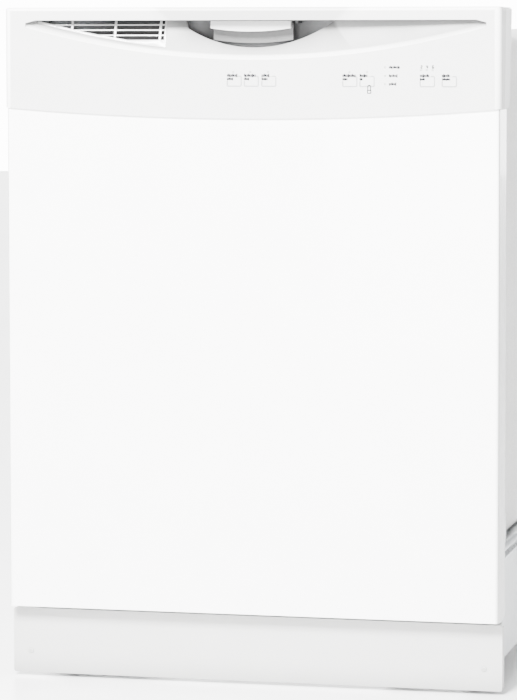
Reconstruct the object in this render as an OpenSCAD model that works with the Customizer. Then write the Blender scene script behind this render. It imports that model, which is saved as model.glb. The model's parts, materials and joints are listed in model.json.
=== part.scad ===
// Built-in dishwasher: a door with a control console closes a tub that holds two racks, spray arms,
// a sump with its pumps, and a steel base on four levelling legs. Millimetres. X runs across (right
// seen from the front), Y runs back from the door, Z up. The origin is under the centre of the box.

/* [Overall size] */
// Width of the console and toe kick
body_w = 606; // [602:1:612]
// Height from the feet, wound right in, to the top of the console
body_h = 818; // [814:1:826]
// Depth from the face of the console to the back of the base
body_d = 625; // [620:1:640]

/* [Door] */
// How far the painted panel is narrower than the console, both edges together
door_inset = 4; // [2:1:6]
// Height of the door's lower edge above the floor
door_bottom = 89.5; // [88:0.5:92]
// Depth of the painted panel's side flanges
door_flange = 52; // [44:1:54]
// Depth of the closed door from the console's face to the inner liner's wet face
door_depth = 80; // [78:1:82]
// Sheet thickness of the painted panel
door_sheet = 1.2; // [0.8:0.1:1.5]
// Height of the hinge pins above the floor
hinge_z = 130; // [129:0.5:132]
// Setback of the hinge pins from the console's face
hinge_back = 23; // [21:0.5:23]

/* [Console] */
// Height of the console at its two ends
console_h = 120; // [118:1:124]
// How much lower the console's lower edge is in the middle
console_sag = 12.4; // [6:0.2:16]
// Wall thickness of the mouldings
wall = 3; // [2.5:0.1:3.5]
// Radius of the console's upright front corners
corner_r = 9; // [6:0.5:11]
// Radius of the console's top front edge
edge_r = 5; // [3:0.5:6]
// Height of the rim above the eyebrow scoop
rim_h = 15.3; // [14:0.1:16]
// Height of the eyebrow scoop in the middle
scoop_h = 47.4; // [44:0.2:50]
// Depth of the eyebrow scoop under the rim, in the middle
scoop_d = 22; // [18:0.5:24]
// Half width of the eyebrow scoop
scoop_half = 281; // [278:1:284]
// Radius of the eyebrow's lower lip, seen from the front
scoop_curve = 1031; // [1000:1:1060]
// Height of the bevel along the eyebrow's lower lip
lip_h = 5.2; // [4:0.2:6]
// Depth of that bevel
lip_d = 7.5; // [5:0.5:9]

/* [Buttons and lights] */
// Width of a button cap
button_w = 16; // [15:0.5:18]
// Height of a button cap
button_h = 10.8; // [10:0.2:12]
// Drop from the console's top to the buttons' centres
button_drop = 87.9; // [86:0.1:92]
// Radius of an indicator light
light_r = 0.9; // [0.6:0.1:1.1]

/* [Tub] */
// Half width of the space inside the tub
tub_half = 268; // [266:1:268]
// Height of the tracks that the lower rack rolls on
track_z = 187; // [187:0.5:188]
// Height of the tub floor
floor_z = 165; // [163:1:166]
// Height of the tub ceiling
ceiling_z = 780; // [776:1:782]
// Setback of the tub's front flange from the liner's wet face
seal_gap = 8; // [8:0.5:9]

/* [Racks] */
// Half width of the lower rack
lower_half = 236; // [232:1:236]
// Half width of the upper rack
upper_half = 230; // [226:1:231]
// Radius of the rack wire
wire_r = 2; // [1.6:0.1:2.2]
// Radius of the rack tines
tine_r = 1.5; // [1.2:0.1:1.7]
// Height of the lower rack's upright wires
lower_rack_h = 160; // [130:1:165]
// Height of the upper rack's upright wires
upper_rack_h = 124; // [100:1:130]
// Radius of a lower rack wheel
wheel_r = 19; // [17:0.5:19]

/* [Spray arms] */
// Radius swept by the lower spray arm
lower_arm_r = 222; // [180:1:224]
// Radius swept by the upper spray arm
upper_arm_r = 200; // [170:1:205]

/* [Base] */
// Height of the toe kick's lower edge above the floor
toe_bottom = 4.5; // [3:0.5:20]
// Height of the toe kick's upper edge above the floor
toe_top = 84; // [78:0.5:84]
// Setback of the toe kick from the console's face
toe_back = 25; // [24:0.5:34]
// Radius of a levelling leg's threaded rod
leg_r = 5; // [4:0.5:6]
// Radius of a levelling leg's foot
foot_r = 18; // [14:1:20]

/* [Hidden] */
$fn = 40;
e = 1; // how far a cutter runs past what it cuts
fine_fn = 1440; // keeps the very large arcs smooth
wire_fn = 14;
run = 0.08; // radial clearance of a running fit
slack = 0.3; // gap round fixed pieces that sit in each other
half_w = body_w / 2;
front = -body_d / 2;
back = body_d / 2;
top = body_h;
half_door = half_w - door_inset / 2;
sheet_y = front + wall + 0.2;
liner_y = front + door_depth;
flange_y = liner_y + seal_gap;
hinge_y = front + hinge_back;
console_low = top - console_h;
rim_z = top - rim_h;
lip_z = rim_z - scoop_h;
button_z = top - button_drop;
liner_half = 281;
liner_low = door_bottom + 4;
liner_top = top - 12;
centre_y = (flange_y + back - 16.5) / 2; // middle of the tub, front to back
tub_back = back - 16.5; // inner face of the tub's back wall
rack_front = liner_y + 32;
rack_back = tub_back - 32;
lower_rack_z = track_z + 27;
upper_rack_z = 492;
rail_z = 566;
axle_z = track_z + 0.3 + wheel_r;
axle_r = 3;
frame_top = floor_z - wall;
frame_low = 20;
frame_half = 283.5;
spring_x = 295;
spring_z = hinge_z + 28;
pan_y = sheet_y + door_flange + 0.6; // front of the inner liner's side flanges
leg_x = 255;
leg_y = [flange_y + 34, back - 42];
wheel_y = [rack_front + 62, rack_back - 60];
cross_y = flange_y + 9; // back of the base's front cross member
service_z = 57; // underside of the inlet valve and the junction box
button_x = [-17.7, 3.2, 24.5, 122.6, 143.3, 215.5, 241.7];
scoop_x = 4.5; // middle of the eyebrow scoop
handle_x = [-50, 48]; // the latch handle's two ends
vent_x = [-257, -103]; // the vent flap's two ends
light_at = [[-18.8, 77], [2, 77], [23.6, 77], [122.2, 77], [143.3, 77], [165.1, 71.3], [165.1, 81.3],
    [165.1, 91], [208.1, 74.3], [214.8, 74.3], [221.8, 74.3]];

// ---- helpers ----

module span(x0, x1, y0, y1, z0, z1) {
    translate([x0, y0, z0]) cube([x1 - x0, y1 - y0, z1 - z0]);
}

module rod_x(x0, x1, y, z, r) {
    translate([x0, y, z]) rotate([0, 90, 0]) cylinder(r = r, h = x1 - x0);
}

module rod_y(x, y0, y1, z, r) {
    translate([x, y0, z]) rotate([-90, 0, 0]) cylinder(r = r, h = y1 - y0);
}

module rod_z(x, y, z0, z1, r) {
    translate([x, y, z0]) cylinder(r = r, h = z1 - z0);
}

module both_sides() {
    children();
    mirror([1, 0, 0]) children();
}

// A front view (X across, Z up) drawn in the plane and pushed back from y0 to y1.
module from_front(y0, y1) {
    translate([0, y1, 0]) rotate([90, 0, 0]) linear_extrude(height = y1 - y0) children();
}

// A side view (Y across, Z up) pushed from x0 to x1.
module from_side(x0, x1) {
    translate([x0, 0, 0]) rotate([90, 0, 90]) linear_extrude(height = x1 - x0) children();
}

// Seen from above: a strip with its two front corners rounded.
module rounded_front(w, y0, y1, r) {
    translate([-w / 2, y0 + r]) square([w, y1 - y0 - r]);
    translate([r - w / 2, y0]) square([w - 2 * r, r + 0.01]);
    for (s = [-1, 1]) translate([s * (w / 2 - r), y0 + r]) circle(r);
}

module rounded_rect(w, h, r) {
    translate([-w / 2, r - h / 2]) square([w, h - 2 * r]);
    translate([r - w / 2, -h / 2]) square([w - 2 * r, h]);
    for (sx = [-1, 1], sz = [-1, 1]) translate([sx * (w / 2 - r), sz * (h / 2 - r)]) circle(r);
}

// ---- console ----

// Front outline of the console: straight top, lower edge bowed down in the middle.
module console_outline() {
    bow = half_w * half_w / (2 * console_sag) + console_sag / 2;
    foot = console_low - console_sag;
    intersection() {
        union() {
            translate([-half_w, foot]) square([body_w, top - edge_r - foot]);
            translate([-half_w + edge_r, foot]) square([body_w - 2 * edge_r, top - foot]);
            for (s = [-1, 1]) translate([s * (half_w - edge_r), top - edge_r]) circle(edge_r);
        }
        translate([0, foot + bow]) circle(bow, $fn = fine_fn);
    }
}

// Side outline of the fascia: rounded top front edge, back edge leaning.
module fascia_side() {
    deep_top = 38;
    deep_low = 29;
    foot = console_low - console_sag;
    translate([front, foot]) square([edge_r + 0.01, top - edge_r - foot]);
    translate([front + edge_r, top - edge_r]) circle(edge_r);
    polygon([[front + edge_r, foot], [front + deep_low, console_low], [front + deep_top, top],
        [front + edge_r, top]]);
}

// A cylinder that leans back, seen from the front as a bow of the scoop's radius. Its lowest line
// rises by rise in a depth of run, and passes through (y, z). grow makes it larger all round.
module leaning_bow(y, z, rise, run, grow) {
    lean = atan(rise / run);
    translate([scoop_x, y, z]) rotate([lean, 0, 0]) translate([0, 0, scoop_curve / cos(lean)])
        rotate([-90, 0, 0]) translate([0, 0, -60])
            cylinder(r = scoop_curve / cos(lean) + grow, h = 200, $fn = fine_fn);
}

// The eyebrow: a bevelled lip, and above it a steeper wall that runs back and up to the rim.
// The wall of the moulding is left behind it when two of different grow are subtracted.
module scoop(grow) {
    reach = scoop_half + grow;
    tip = 12;
    drop = 3.2;
    intersection() {
        leaning_bow(front, lip_z, lip_h, lip_d, grow);
        leaning_bow(front + lip_d, lip_z + lip_h, scoop_h - lip_h, scoop_d - lip_d, grow);
        from_front(front - 12, front + 60) translate([scoop_x, rim_z + grow])
            polygon([[-reach, -80], [reach, -80], [reach, -drop], [reach - tip, 0],
                [tip - reach, 0], [-reach, -drop]]);
    }
}

// The vent's opening in the scoop, stepped back from its lip.
module vent_outline(grow) {
    edge_in = -104 + grow;
    edge_out = -264 - grow;
    inset = 8.4 - grow;
    intersection() {
        translate([edge_out, lip_z - 5]) square([edge_in - edge_out, rim_z - lip_z + 5 - 0.2 + grow]);
        translate([scoop_x, lip_z + inset + scoop_curve]) circle(scoop_curve, $fn = fine_fn);
    }
}

// The finger opening: flat top, sides drawn in, bowed bottom.
module pocket_outline() {
    low = top - 48;
    bow = 160;
    intersection() {
        polygon([[-81, rim_z], [-76, top - 32], [-60, low], [66, low], [94, top - 28], [108, rim_z]]);
        translate([4, low + bow]) circle(bow, $fn = 240);
    }
}

module console_fascia() {
    color([0.96, 0.96, 0.95]) difference() {
        intersection() {
            translate([0, 0, console_low - 20]) linear_extrude(height = console_h + 20)
                rounded_front(body_w, front, front + 40, corner_r);
            from_front(front - e, front + 41) console_outline();
            from_side(-half_w - e, half_w + e) fascia_side();
        }
        difference() {
            translate([0, 0, console_low - 30]) linear_extrude(height = console_h + 30 - wall)
                rounded_front(body_w - 2 * wall, front + wall, front + 60, corner_r - wall);
            scoop(wall);
        }
        scoop(0);
        from_front(front - e, front + 40) vent_outline(0);
        from_front(front - e, front + 40) pocket_outline();
        // room above the latch handle, behind the rim
        span(handle_x[0] - 4, handle_x[1] + 4, front + wall, front + 40, rim_z - e, top - 9);
        for (x = button_x) translate([x, 0, button_z]) from_front(front - e, front + wall + e)
            rounded_rect(button_w + 2 * slack, button_h + 2 * slack, 1.8);
        for (p = light_at) rod_y(p[0], front - e, front + wall + e, top - p[1], light_r + slack);
    }
}

module console_back() {
    inner = liner_half + 1.2;
    skin = 2.5;
    deep_top = 84;
    deep_low = 67;
    start = 38.4;
    start_low = 29.4;
    web_y = front + 44;
    color([0.8, 0.81, 0.81]) {
        intersection() {
            both_sides() from_side(inner, half_w - 0.4) polygon([[front + start_low, console_low],
                [front + start_low + 3, console_low], [front + deep_low, console_low],
                [front + deep_top, top - 0.4], [front + start, top - 0.4]]);
            from_front(front, front + 100) translate([0, -0.4]) console_outline();
        }
        difference() {
            union() {
                span(-inner, inner, front + start, front + deep_top, top - skin - 0.4, top - 0.4);
                span(-inner, inner, web_y, web_y + skin, console_low + 14, top - skin - 0.4);
            }
            span(-92, 120, web_y - e, web_y + 10, top - 56, top - 5);
            span(vent_x[0] - 3, vent_x[1] + 3, web_y - e, web_y + 10, top - 84, top - 13);
            span(-16, 16, web_y - e, web_y + 10, top - 30, top - 5);
        }
        // pivot of the latch hook, held by two ears under the top
        rod_x(-12, 12, front + 50, top - 9, 1.5);
        both_sides() span(12, 14, front + 47, front + 53, top - 12, top - skin - 0.4);
    }
}

module vent_grille() {
    pitch = 6.25;
    slot = 4.7;
    starts = [-262, -219.6, -166.4, -111];
    ends = [-222.1, -168.9, -113.6, -107];
    color([0.9, 0.9, 0.89]) difference() {
        intersection() {
            difference() {
                scoop(wall - 0.3);
                scoop(0.3);
            }
            from_front(front - e, front + 40) vent_outline(-0.25);
        }
        intersection() {
            for (row = [0:3], cell = [0:3])
                span(starts[cell], ends[cell], front - e, front + 40,
                    rim_z - 2.4 - row * pitch - slot / 2, rim_z - 2.4 - row * pitch + slot / 2);
            from_front(front - 1, front + 41) translate([scoop_x, lip_z + 12 + scoop_curve])
                circle(scoop_curve, $fn = fine_fn);
        }
    }
}

// The vent's shutter hangs behind the grille from a rod along its top edge.
module vent_flap() {
    color([0.55, 0.56, 0.57]) {
        rod_x(vent_x[0] - 1, vent_x[1] + 1, front + 41, top - 17, 2);
        span(vent_x[0], vent_x[1], front + 40.2, front + 41.8, top - 49, top - 17);
    }
}

// Grey cup behind the finger opening, with the pin that the latch handle turns on.
module handle_pocket() {
    skin = 2.5;
    deep = front + 54;
    color([0.72, 0.73, 0.73]) {
        difference() {
            span(-88, 116, front + 4, deep, top - 54, top - 5.5);
            span(-85.5, 113.5, front, deep - skin, top - 51.5, top - 8);
            scoop(wall + 0.2);
            span(-100, 130, front - e, front + wall + 0.2, top - 90, top);
            // slot in the back for the latch hook
            span(-16, 16, front + 44, deep + e, top - 22, top);
        }
        for (x = [handle_x[0] - 6, handle_x[1] + 3])
            span(x, x + 3, front + 27, deep - skin, top - 19, top - 8);
        rod_x(handle_x[0] - 3, handle_x[1] + 3, front + 30.5, top - 14.5, 1.6);
    }
}

module latch_handle() {
    x0 = handle_x[0];
    x1 = handle_x[1];
    middle = (x0 + x1) / 2;
    bow = 300;
    color([0.95, 0.95, 0.94]) difference() {
        union() {
            from_front(front + 14, front + 20) intersection() {
                translate([x0, top - 29]) square([x1 - x0, 13.1]);
                translate([middle, top - 29 + bow]) circle(bow, $fn = 720);
            }
            span(x0, x1, front + 20, front + 29, top - 19.4, top - 16.6);
            from_front(front + 29, front + 32) intersection() {
                translate([x0, top - 43]) square([x1 - x0, 28.5]);
                translate([middle, top - 43 + bow]) circle(bow, $fn = 720);
            }
            rod_x(x0, x1, front + 30.5, top - 14.5, 3.4);
        }
        rod_x(x0 - e, x1 + e, front + 30.5, top - 14.5, 1.6 + run);
    }
}

module latch_hook() {
    color([0.75, 0.76, 0.78]) difference() {
        from_side(-6, 6) {
            translate([front + 50, top - 9]) circle(4);
            polygon([[front + 50, top - 13], [front + 66, top - 13.4], [front + 66, top - 11],
                [front + 50, top - 6]]);
        }
        rod_x(-7, 7, front + 50, top - 9, 1.5 + run);
    }
}

// A cap flush with the fascia, with a stem that reaches back to its switch.
module button(i) {
    color([0.95, 0.95, 0.94]) translate([button_x[i], 0, button_z]) {
        from_front(front + 0.3, front + 2.3) rounded_rect(button_w, button_h, 1.5);
        span(-2.5, 2.5, front + 2.3, front + 16.5, -2.5, 2.5);
    }
}

module status_lights() {
    color([0.75, 0.78, 0.75]) for (p = light_at) rod_y(p[0], front + 0.2, front + 18, top - p[1], light_r);
}

module control_board() {
    board_y = front + 18;
    color([0.1, 0.42, 0.25]) {
        span(-45, 270, board_y, board_y + 1.6, top - 100, top - 64);
        for (x = button_x) span(x - 6, x + 6, board_y + 1.6, board_y + 4, button_z - 3, button_z + 3);
        span(60, 100, board_y + 1.6, board_y + 17, top - 94, top - 66);
        for (x = [170, 190]) rod_y(x, board_y + 1.6, board_y + 15, top - 80, 7);
    }
}

// ---- door ----

module door_panel() {
    tongue = half_door - 7;
    notch = liner_half;
    sheet_top = console_low - 1;
    color([0.95, 0.95, 0.94]) difference() {
        union() {
            translate([0, 0, door_bottom]) linear_extrude(height = sheet_top - door_bottom)
                rounded_front(2 * half_door, sheet_y, sheet_y + door_flange, 4);
            span(-tongue, tongue, sheet_y, sheet_y + door_sheet, sheet_top - e, sheet_top + 9);
        }
        translate([0, 0, door_bottom + door_sheet]) linear_extrude(height = console_h + body_h)
            rounded_front(2 * (half_door - door_sheet), sheet_y + door_sheet, sheet_y + 90,
                4 - door_sheet);
        both_sides() span(notch, half_door - door_sheet, sheet_y + 10, sheet_y + 90,
            door_bottom - e, door_bottom + e + door_sheet);
    }
}

// The inner door: a pan with a chamfered foot, an opening for the dispenser, a notch for the
// latch and a vent hole, and a flange that backs the painted panel.
module door_liner() {
    skin = 1.5;
    flange_low = hinge_z + 42;
    color([0.83, 0.84, 0.85]) difference() {
        union() {
            from_side(-liner_half, liner_half) polygon([[pan_y, liner_low], [liner_y - 8, liner_low],
                [liner_y, liner_low + 8], [liner_y, liner_top], [pan_y, liner_top]]);
            both_sides() span(liner_half, half_door - 0.6, pan_y, pan_y + 2, flange_low, console_low - 2);
        }
        from_side(-liner_half + skin, liner_half - skin) polygon([[pan_y - e, liner_low + skin],
            [liner_y - 8.6, liner_low + skin], [liner_y - skin, liner_low + 8.6],
            [liner_y - skin, liner_top - skin], [pan_y - e, liner_top - skin]]);
        span(-86, 96, liner_y - 20, liner_y + e, 429, 561);
        span(-16, 16, pan_y - e, liner_y + e, top - 28, liner_top + e);
        rod_y(-200, liner_y - 5, liner_y + e, top - 60, 20);
        both_sides() span(liner_half - 8, liner_half + e, pan_y - e, pan_y + 24,
            console_low - 1, liner_top + e);
        span(-liner_half - e, liner_half + e, pan_y - e, liner_y - 9, liner_top - 10, liner_top + e);
    }
}

module door_insulation() {
    color([0.35, 0.35, 0.36]) difference() {
        span(-274, 274, sheet_y + 6, sheet_y + 34, door_bottom + 50, console_low - 20);
        span(-100, 110, sheet_y + 22, sheet_y + 40, 415, 575);
    }
}

module detergent_dispenser() {
    face = liner_y + 8;
    color([0.62, 0.64, 0.66]) difference() {
        union() {
            span(-85, 95, liner_y - 30, liner_y - 1.5, 430, 560);
            span(-88, 98, liner_y, face, 427, 563);
            span(-85.5, 95.5, liner_y - 1.5, liner_y, 429.5, 560.5);
        }
        span(-79.5, 4.5, face - 4.3, face + e, 431, 556);
        span(-74, -1, liner_y - 26, face, 497, 551);
        rod_y(50, face - 7, face + e, 520, 17);
        rod_y(50, liner_y - 20, face, 520, 9);
    }
}

module detergent_lid() {
    face = liner_y + 8;
    color([0.8, 0.82, 0.84]) {
        span(-79, 4, face - 4, face - 1, 493.5, 555.5);
        span(-55, -20, face - 1, face + 1.5, 500, 504);
    }
}

module rinse_aid_cap() {
    face = liner_y + 8;
    color([0.25, 0.4, 0.6]) {
        rod_y(50, face - 6.7, face - 1, 520, 16);
        rod_y(50, liner_y - 4, face - 6.7, 520, 8.5);
        span(47.5, 52.5, face - 1, face + 2.5, 508, 532);
    }
}

// Steel plates at the door's lower corners, with a hole for the hinge pin and a lug for the spring.
module hinge_arms() {
    x0 = 287.5;
    x1 = 290;
    color([0.6, 0.62, 0.64]) both_sides() {
        difference() {
            union() {
                rod_x(x0, x1, hinge_y, hinge_z, 8);
                span(x0, x1, hinge_y - 8, pan_y - 0.1, hinge_z, hinge_z + 170);
                span(liner_half - 12, x0, pan_y - 2.1, pan_y - 0.1, hinge_z + 50, hinge_z + 170);
            }
            rod_x(x0 - e, x1 + e, hinge_y, hinge_z, 4 + run);
        }
        rod_x(x1, spring_x + 3.5, hinge_y + 10, spring_z, 2.5);
    }
}

module door_springs() {
    hook = 1.2;
    hook_front = hinge_y + 12.8;
    hook_back = -58.8;
    color([0.5, 0.52, 0.54]) both_sides() {
        rod_y(spring_x, hinge_y + 22, -70, spring_z, 3.6);
        rod_y(spring_x, hook_front, hinge_y + 22, spring_z, hook);
        rod_y(spring_x, -70, hook_back, spring_z, hook);
    }
}

// ---- tub ----

module tub() {
    skin = 3;
    lip_back = flange_y + 12;
    frame_half_w = 288;
    open_half = 262;
    open_top = ceiling_z - 5;
    pin_y = [flange_y + 30, flange_y + 72];
    color([0.72, 0.74, 0.75]) {
        difference() {
            union() {
                span(-tub_half - skin, tub_half + skin, flange_y, tub_back + skin, floor_z - skin,
                    ceiling_z + skin);
                span(-frame_half_w, frame_half_w, flange_y, flange_y + skin, floor_z - 10, top - 7);
            }
            span(-tub_half, tub_half, flange_y + skin, tub_back, floor_z, ceiling_z);
            span(-open_half, open_half, flange_y - e, flange_y + skin + e, track_z, open_top);
            rod_z(0, centre_y, floor_z - 5, floor_z + e, 94);
            rod_z(0, tub_back - 12, floor_z - 5, floor_z + e, 9 + slack);
            rod_z(-190, -175, floor_z - 5, floor_z + e, 5 + run);
            for (x = [-15, 15]) rod_z(x, centre_y + 115, floor_z - 5, floor_z + e, 4 + slack);
        }
        span(-tub_half, tub_half, flange_y + skin, lip_back, floor_z, track_z);
        both_sides() {
            span(234, tub_half, lip_back, tub_back, floor_z, track_z);
            for (y = pin_y) rod_x(248, tub_half, y, rail_z, axle_r);
        }
    }
}

module tub_gasket() {
    color([0.4, 0.41, 0.42]) from_front(liner_y + 1, flange_y) difference() {
        translate([0, (166 + 790) / 2]) rounded_rect(552, 790 - 166, 12);
        translate([0, (175 + 781) / 2]) rounded_rect(534, 781 - 175, 5);
    }
}

module tub_insulation() {
    inner = tub_half + 3.2;
    outer = 280.8;
    roof = ceiling_z + 3.2;
    y1 = tub_back + 3.2;
    color([0.86, 0.86, 0.84]) {
        both_sides() span(inner, outer, flange_y + 6, y1 + 9, frame_top + 4, roof + 9);
        span(-inner, inner, flange_y + 6, y1 + 9, roof, roof + 9);
        span(-inner, inner, y1, y1 + 9, frame_top + 4, roof);
    }
}

// ---- base ----

module base_frame() {
    t = 2;
    y0 = flange_y + 7;
    color([0.62, 0.64, 0.66]) difference() {
        union() {
            both_sides() {
                span(frame_half - t, frame_half, y0, back, frame_low, frame_top);
                span(235, frame_half - t, y0, back, frame_low, frame_low + t);
                span(240, frame_half - t, y0, back, frame_top - t, frame_top);
                for (y = leg_y) span(leg_x - 11, leg_x + 11, y - 11, y + 11, frame_low + t, frame_low + 14);
            }
            span(-frame_half + t, frame_half - t, back - t, back, frame_low + t, 34);
            span(-frame_half + t, frame_half - t, y0, cross_y, frame_low + t, 60);
        }
        both_sides() for (y = leg_y) rod_z(leg_x, y, frame_low - e, frame_low + 20, leg_r + run);
    }
}

module hinge_brackets() {
    x0 = frame_half + 0.2;
    x1 = 286.7;
    y0 = flange_y + 7;
    anchor_y = -56;
    color([0.55, 0.57, 0.6]) both_sides() {
        span(x0, x1, hinge_y, y0, hinge_z - 8, hinge_z + 8);
        rod_x(x0, x1, hinge_y, hinge_z, 8);
        span(x0, x1, y0, y0 + 60, 50, 200);
        span(x0, x1, y0 + 60, anchor_y + 8, spring_z - 8, spring_z + 8);
        rod_x(x1, 291.5, hinge_y, hinge_z, 4);
        rod_x(x1, spring_x + 3.5, anchor_y, spring_z, 2.5);
    }
}

module toe_kick() {
    t = door_sheet;
    face = front + toe_back;
    tab_back = front + 62;
    color([0.9, 0.9, 0.89]) difference() {
        union() {
            from_front(face, face + t) translate([0, (toe_bottom + toe_top) / 2])
                rounded_rect(body_w, toe_top - toe_bottom, 3);
            span(3 - half_w, half_w - 3, face + t, face + 20, toe_top - t, toe_top);
            both_sides() {
                span(half_w - t, half_w, face + t, face + 14, toe_bottom + 3, toe_top - 3);
                span(272, 272 + t, face + t, tab_back, 20, 70);
            }
        }
        for (x = [-281, 281]) rod_y(x, face - e, face + t + e, 31, 2.2);
    }
}

module toe_kick_screws() {
    face = front + toe_back;
    color([0.85, 0.85, 0.85]) for (x = [-281, 281]) {
        rod_y(x, face - 1.2, face, 31, 3.4);
        rod_y(x, face, face + 9, 31, 1.9);
    }
}

module access_panel() {
    y0 = front + 62;
    color([0.3, 0.31, 0.32]) {
        span(-281, 281, y0, y0 + door_sheet, frame_low, 92);
        both_sides() span(281 - door_sheet, 281, y0 + door_sheet, flange_y + 7, frame_low, 92);
    }
}

module leg(side, y) {
    color([0.45, 0.46, 0.48]) {
        rod_z(side * leg_x, y, 0, 8, foot_r);
        rod_z(side * leg_x, y, 8, 88, leg_r);
    }
}

// Two tabs over the tub's front edge, each with a hole for a screw up into the worktop.
module mounting_brackets() {
    y0 = flange_y + 3.5;
    roof = ceiling_z + 12.6;
    color([0.62, 0.64, 0.66]) both_sides() difference() {
        union() {
            span(165, 195, y0, y0 + 28, top - 2.5, top - 1);
            span(165, 195, y0 + 28, y0 + 29.5, roof, top - 1);
            span(165, 195, y0 + 29.5, y0 + 50, roof, roof + 1.5);
        }
        rod_z(180, y0 + 12, top - 4, top + e, 2.5);
    }
}

// Plate on the tub's front edge with the loop that the door's hook meets.
module latch_strike() {
    loop_y = front + 66;
    loop_z = top - 18;
    color([0.6, 0.62, 0.64]) {
        span(-22, 22, flange_y - 1.5, flange_y, top - 27, top - 9);
        for (x = [-10, 10]) rod_y(x, loop_y, flange_y - 1.5, loop_z, 2);
        rod_x(-12, 12, loop_y, loop_z, 2);
    }
}

// ---- water system ----

module sump() {
    deep = 100;
    color([0.28, 0.29, 0.3]) difference() {
        union() {
            rod_z(0, centre_y, deep, floor_z + 0.4, 92);
            rod_z(0, centre_y, floor_z, floor_z + 3, 100);
            rod_z(0, centre_y, floor_z, track_z + 1, 9);
        }
        difference() {
            rod_z(0, centre_y, deep + wall, floor_z, 89);
            rod_z(0, centre_y, deep, floor_z + e, 12);
        }
        rod_z(-48, centre_y - 20, deep + wall, floor_z + 10, 31);
        rod_z(0, centre_y, deep + 20, track_z + 5, 5);
        rod_x(70, 100, centre_y, 130, 14 + slack);
        rod_x(-100, -70, centre_y, 130, 14 + slack);
        rod_y(0, centre_y + 70, centre_y + 100, 140, 8 + slack);
    }
}

module filter() {
    color([0.35, 0.4, 0.45]) translate([-48, centre_y - 20, 0]) {
        difference() {
            union() {
                rod_z(0, 0, 106, floor_z + 3.4, 30);
                rod_z(0, 0, floor_z + 3.4, floor_z + 5, 34);
            }
            rod_z(0, 0, 109, floor_z + 6, 27);
        }
        span(-27.5, 27.5, -1.5, 1.5, 150, floor_z + 4);
    }
}

module wash_pump() {
    x0 = 108;
    y = centre_y;
    color([0.25, 0.26, 0.28]) {
        difference() {
            union() {
                rod_x(x0, x0 + 34, y, 90, 52);
                rod_x(80, x0 + 4, y, 130, 14);
            }
            rod_x(x0 + 3, x0 + 31, y, 90, 45);
            rod_x(78, x0 + 10, y, 130, 11);
        }
        rod_x(x0 + 34, x0 + 100, y, 90, 40);
    }
}

module pump_rotor() {
    x0 = 108;
    color([0.75, 0.75, 0.7]) {
        rod_x(x0 + 22, x0 + 28, centre_y, 90, 32);
        for (turn = [0:60:300]) translate([0, centre_y, 90]) rotate([turn, 0, 0])
            span(x0 + 8, x0 + 22.2, -1.5, 1.5, 8, 31);
    }
}

module drain_pump() {
    x = -128;
    z = 118;
    port_z = 130;
    spout_end = 215;
    color([0.3, 0.32, 0.36]) {
        difference() {
            union() {
                rod_x(-150, -104, centre_y, z, 30);
                rod_x(-104.5, -80, centre_y, port_z, 14);
            }
            rod_x(-146, -107, centre_y, z, 27);
            rod_x(-110, -78, centre_y, port_z, 11);
            rod_y(x, centre_y + 20, centre_y + 40, z, 8.5);
        }
        rod_x(-200, -150, centre_y, z, 24);
        difference() {
            union() {
                rod_y(x, centre_y + 27, spout_end - 30, z, 10);
                rod_y(x, spout_end - 30, spout_end, z, 11);
            }
            rod_y(x, centre_y + 20, spout_end + e, z, 8.5);
        }
    }
}

module heating_element() {
    color([0.35, 0.34, 0.33]) {
        translate([0, centre_y, 176]) rotate_extrude($fn = 72) translate([115, 0]) circle(3.5, $fn = 16);
        for (x = [-15, 15]) rod_z(x, centre_y + 115, 145, 175, 4);
    }
}

module float() {
    color([0.85, 0.85, 0.83]) {
        rod_z(-190, -175, floor_z + 0.5, 194, 20);
        rod_z(-190, -175, 140, floor_z + 0.5, 5);
    }
}

// An angle bracket from x0 to x1 that carries a box off the front cross member.
module service_bracket(x0, x1, y1) {
    span(x0, x1, cross_y, cross_y + 2, service_z - 17, service_z + 3);
    span(x0, x1, cross_y + 2, y1, service_z, service_z + 2);
}

module inlet_valve() {
    x = -218;
    z = service_z + 18;
    stub_front = -150;
    color([0.85, 0.86, 0.84]) {
        service_bracket(x - 20, x + 20, stub_front - 36);
        span(x - 20, x + 20, stub_front - 36, stub_front, service_z, service_z + 46);
        rod_z(x, stub_front - 18, service_z + 46, service_z + 62, 9);
        difference() {
            rod_y(x, stub_front, stub_front + 16, z, 13.2);
            rod_y(x, stub_front - 2, stub_front + 17, z, 9);
        }
    }
}

module junction_box() {
    x0 = 201;
    x1 = 243;
    y0 = -190;
    y1 = -128;
    t = 2;
    color([0.6, 0.62, 0.64]) {
        service_bracket(x0, x1, y0);
        difference() {
            span(x0, x1, y0, y1, service_z, service_z + 50);
            span(x0 + t, x1 - t, y0 + t, y1 - t, service_z + t, service_z + 51);
            rod_y((x0 + x1) / 2, y1 - 3, y1 + e, service_z + 21, 11);
        }
    }
}

// Riser up the back of the tub, a port for the upper rack and the fixed shower over it.
module feed_tube() {
    y = tub_back - 12;
    roof = ceiling_z - 12;
    port = upper_rack_z - 12;
    color([0.55, 0.57, 0.6]) {
        rod_z(0, y, 128, roof + 9, 9);
        rod_y(0, centre_y + 86, y, 140, 8);
        rod_y(0, centre_y, y, roof, 7);
        rod_z(0, centre_y, roof - 14, roof, 20);
        rod_y(0, y - 20, y, port, 7);
    }
}

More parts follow.
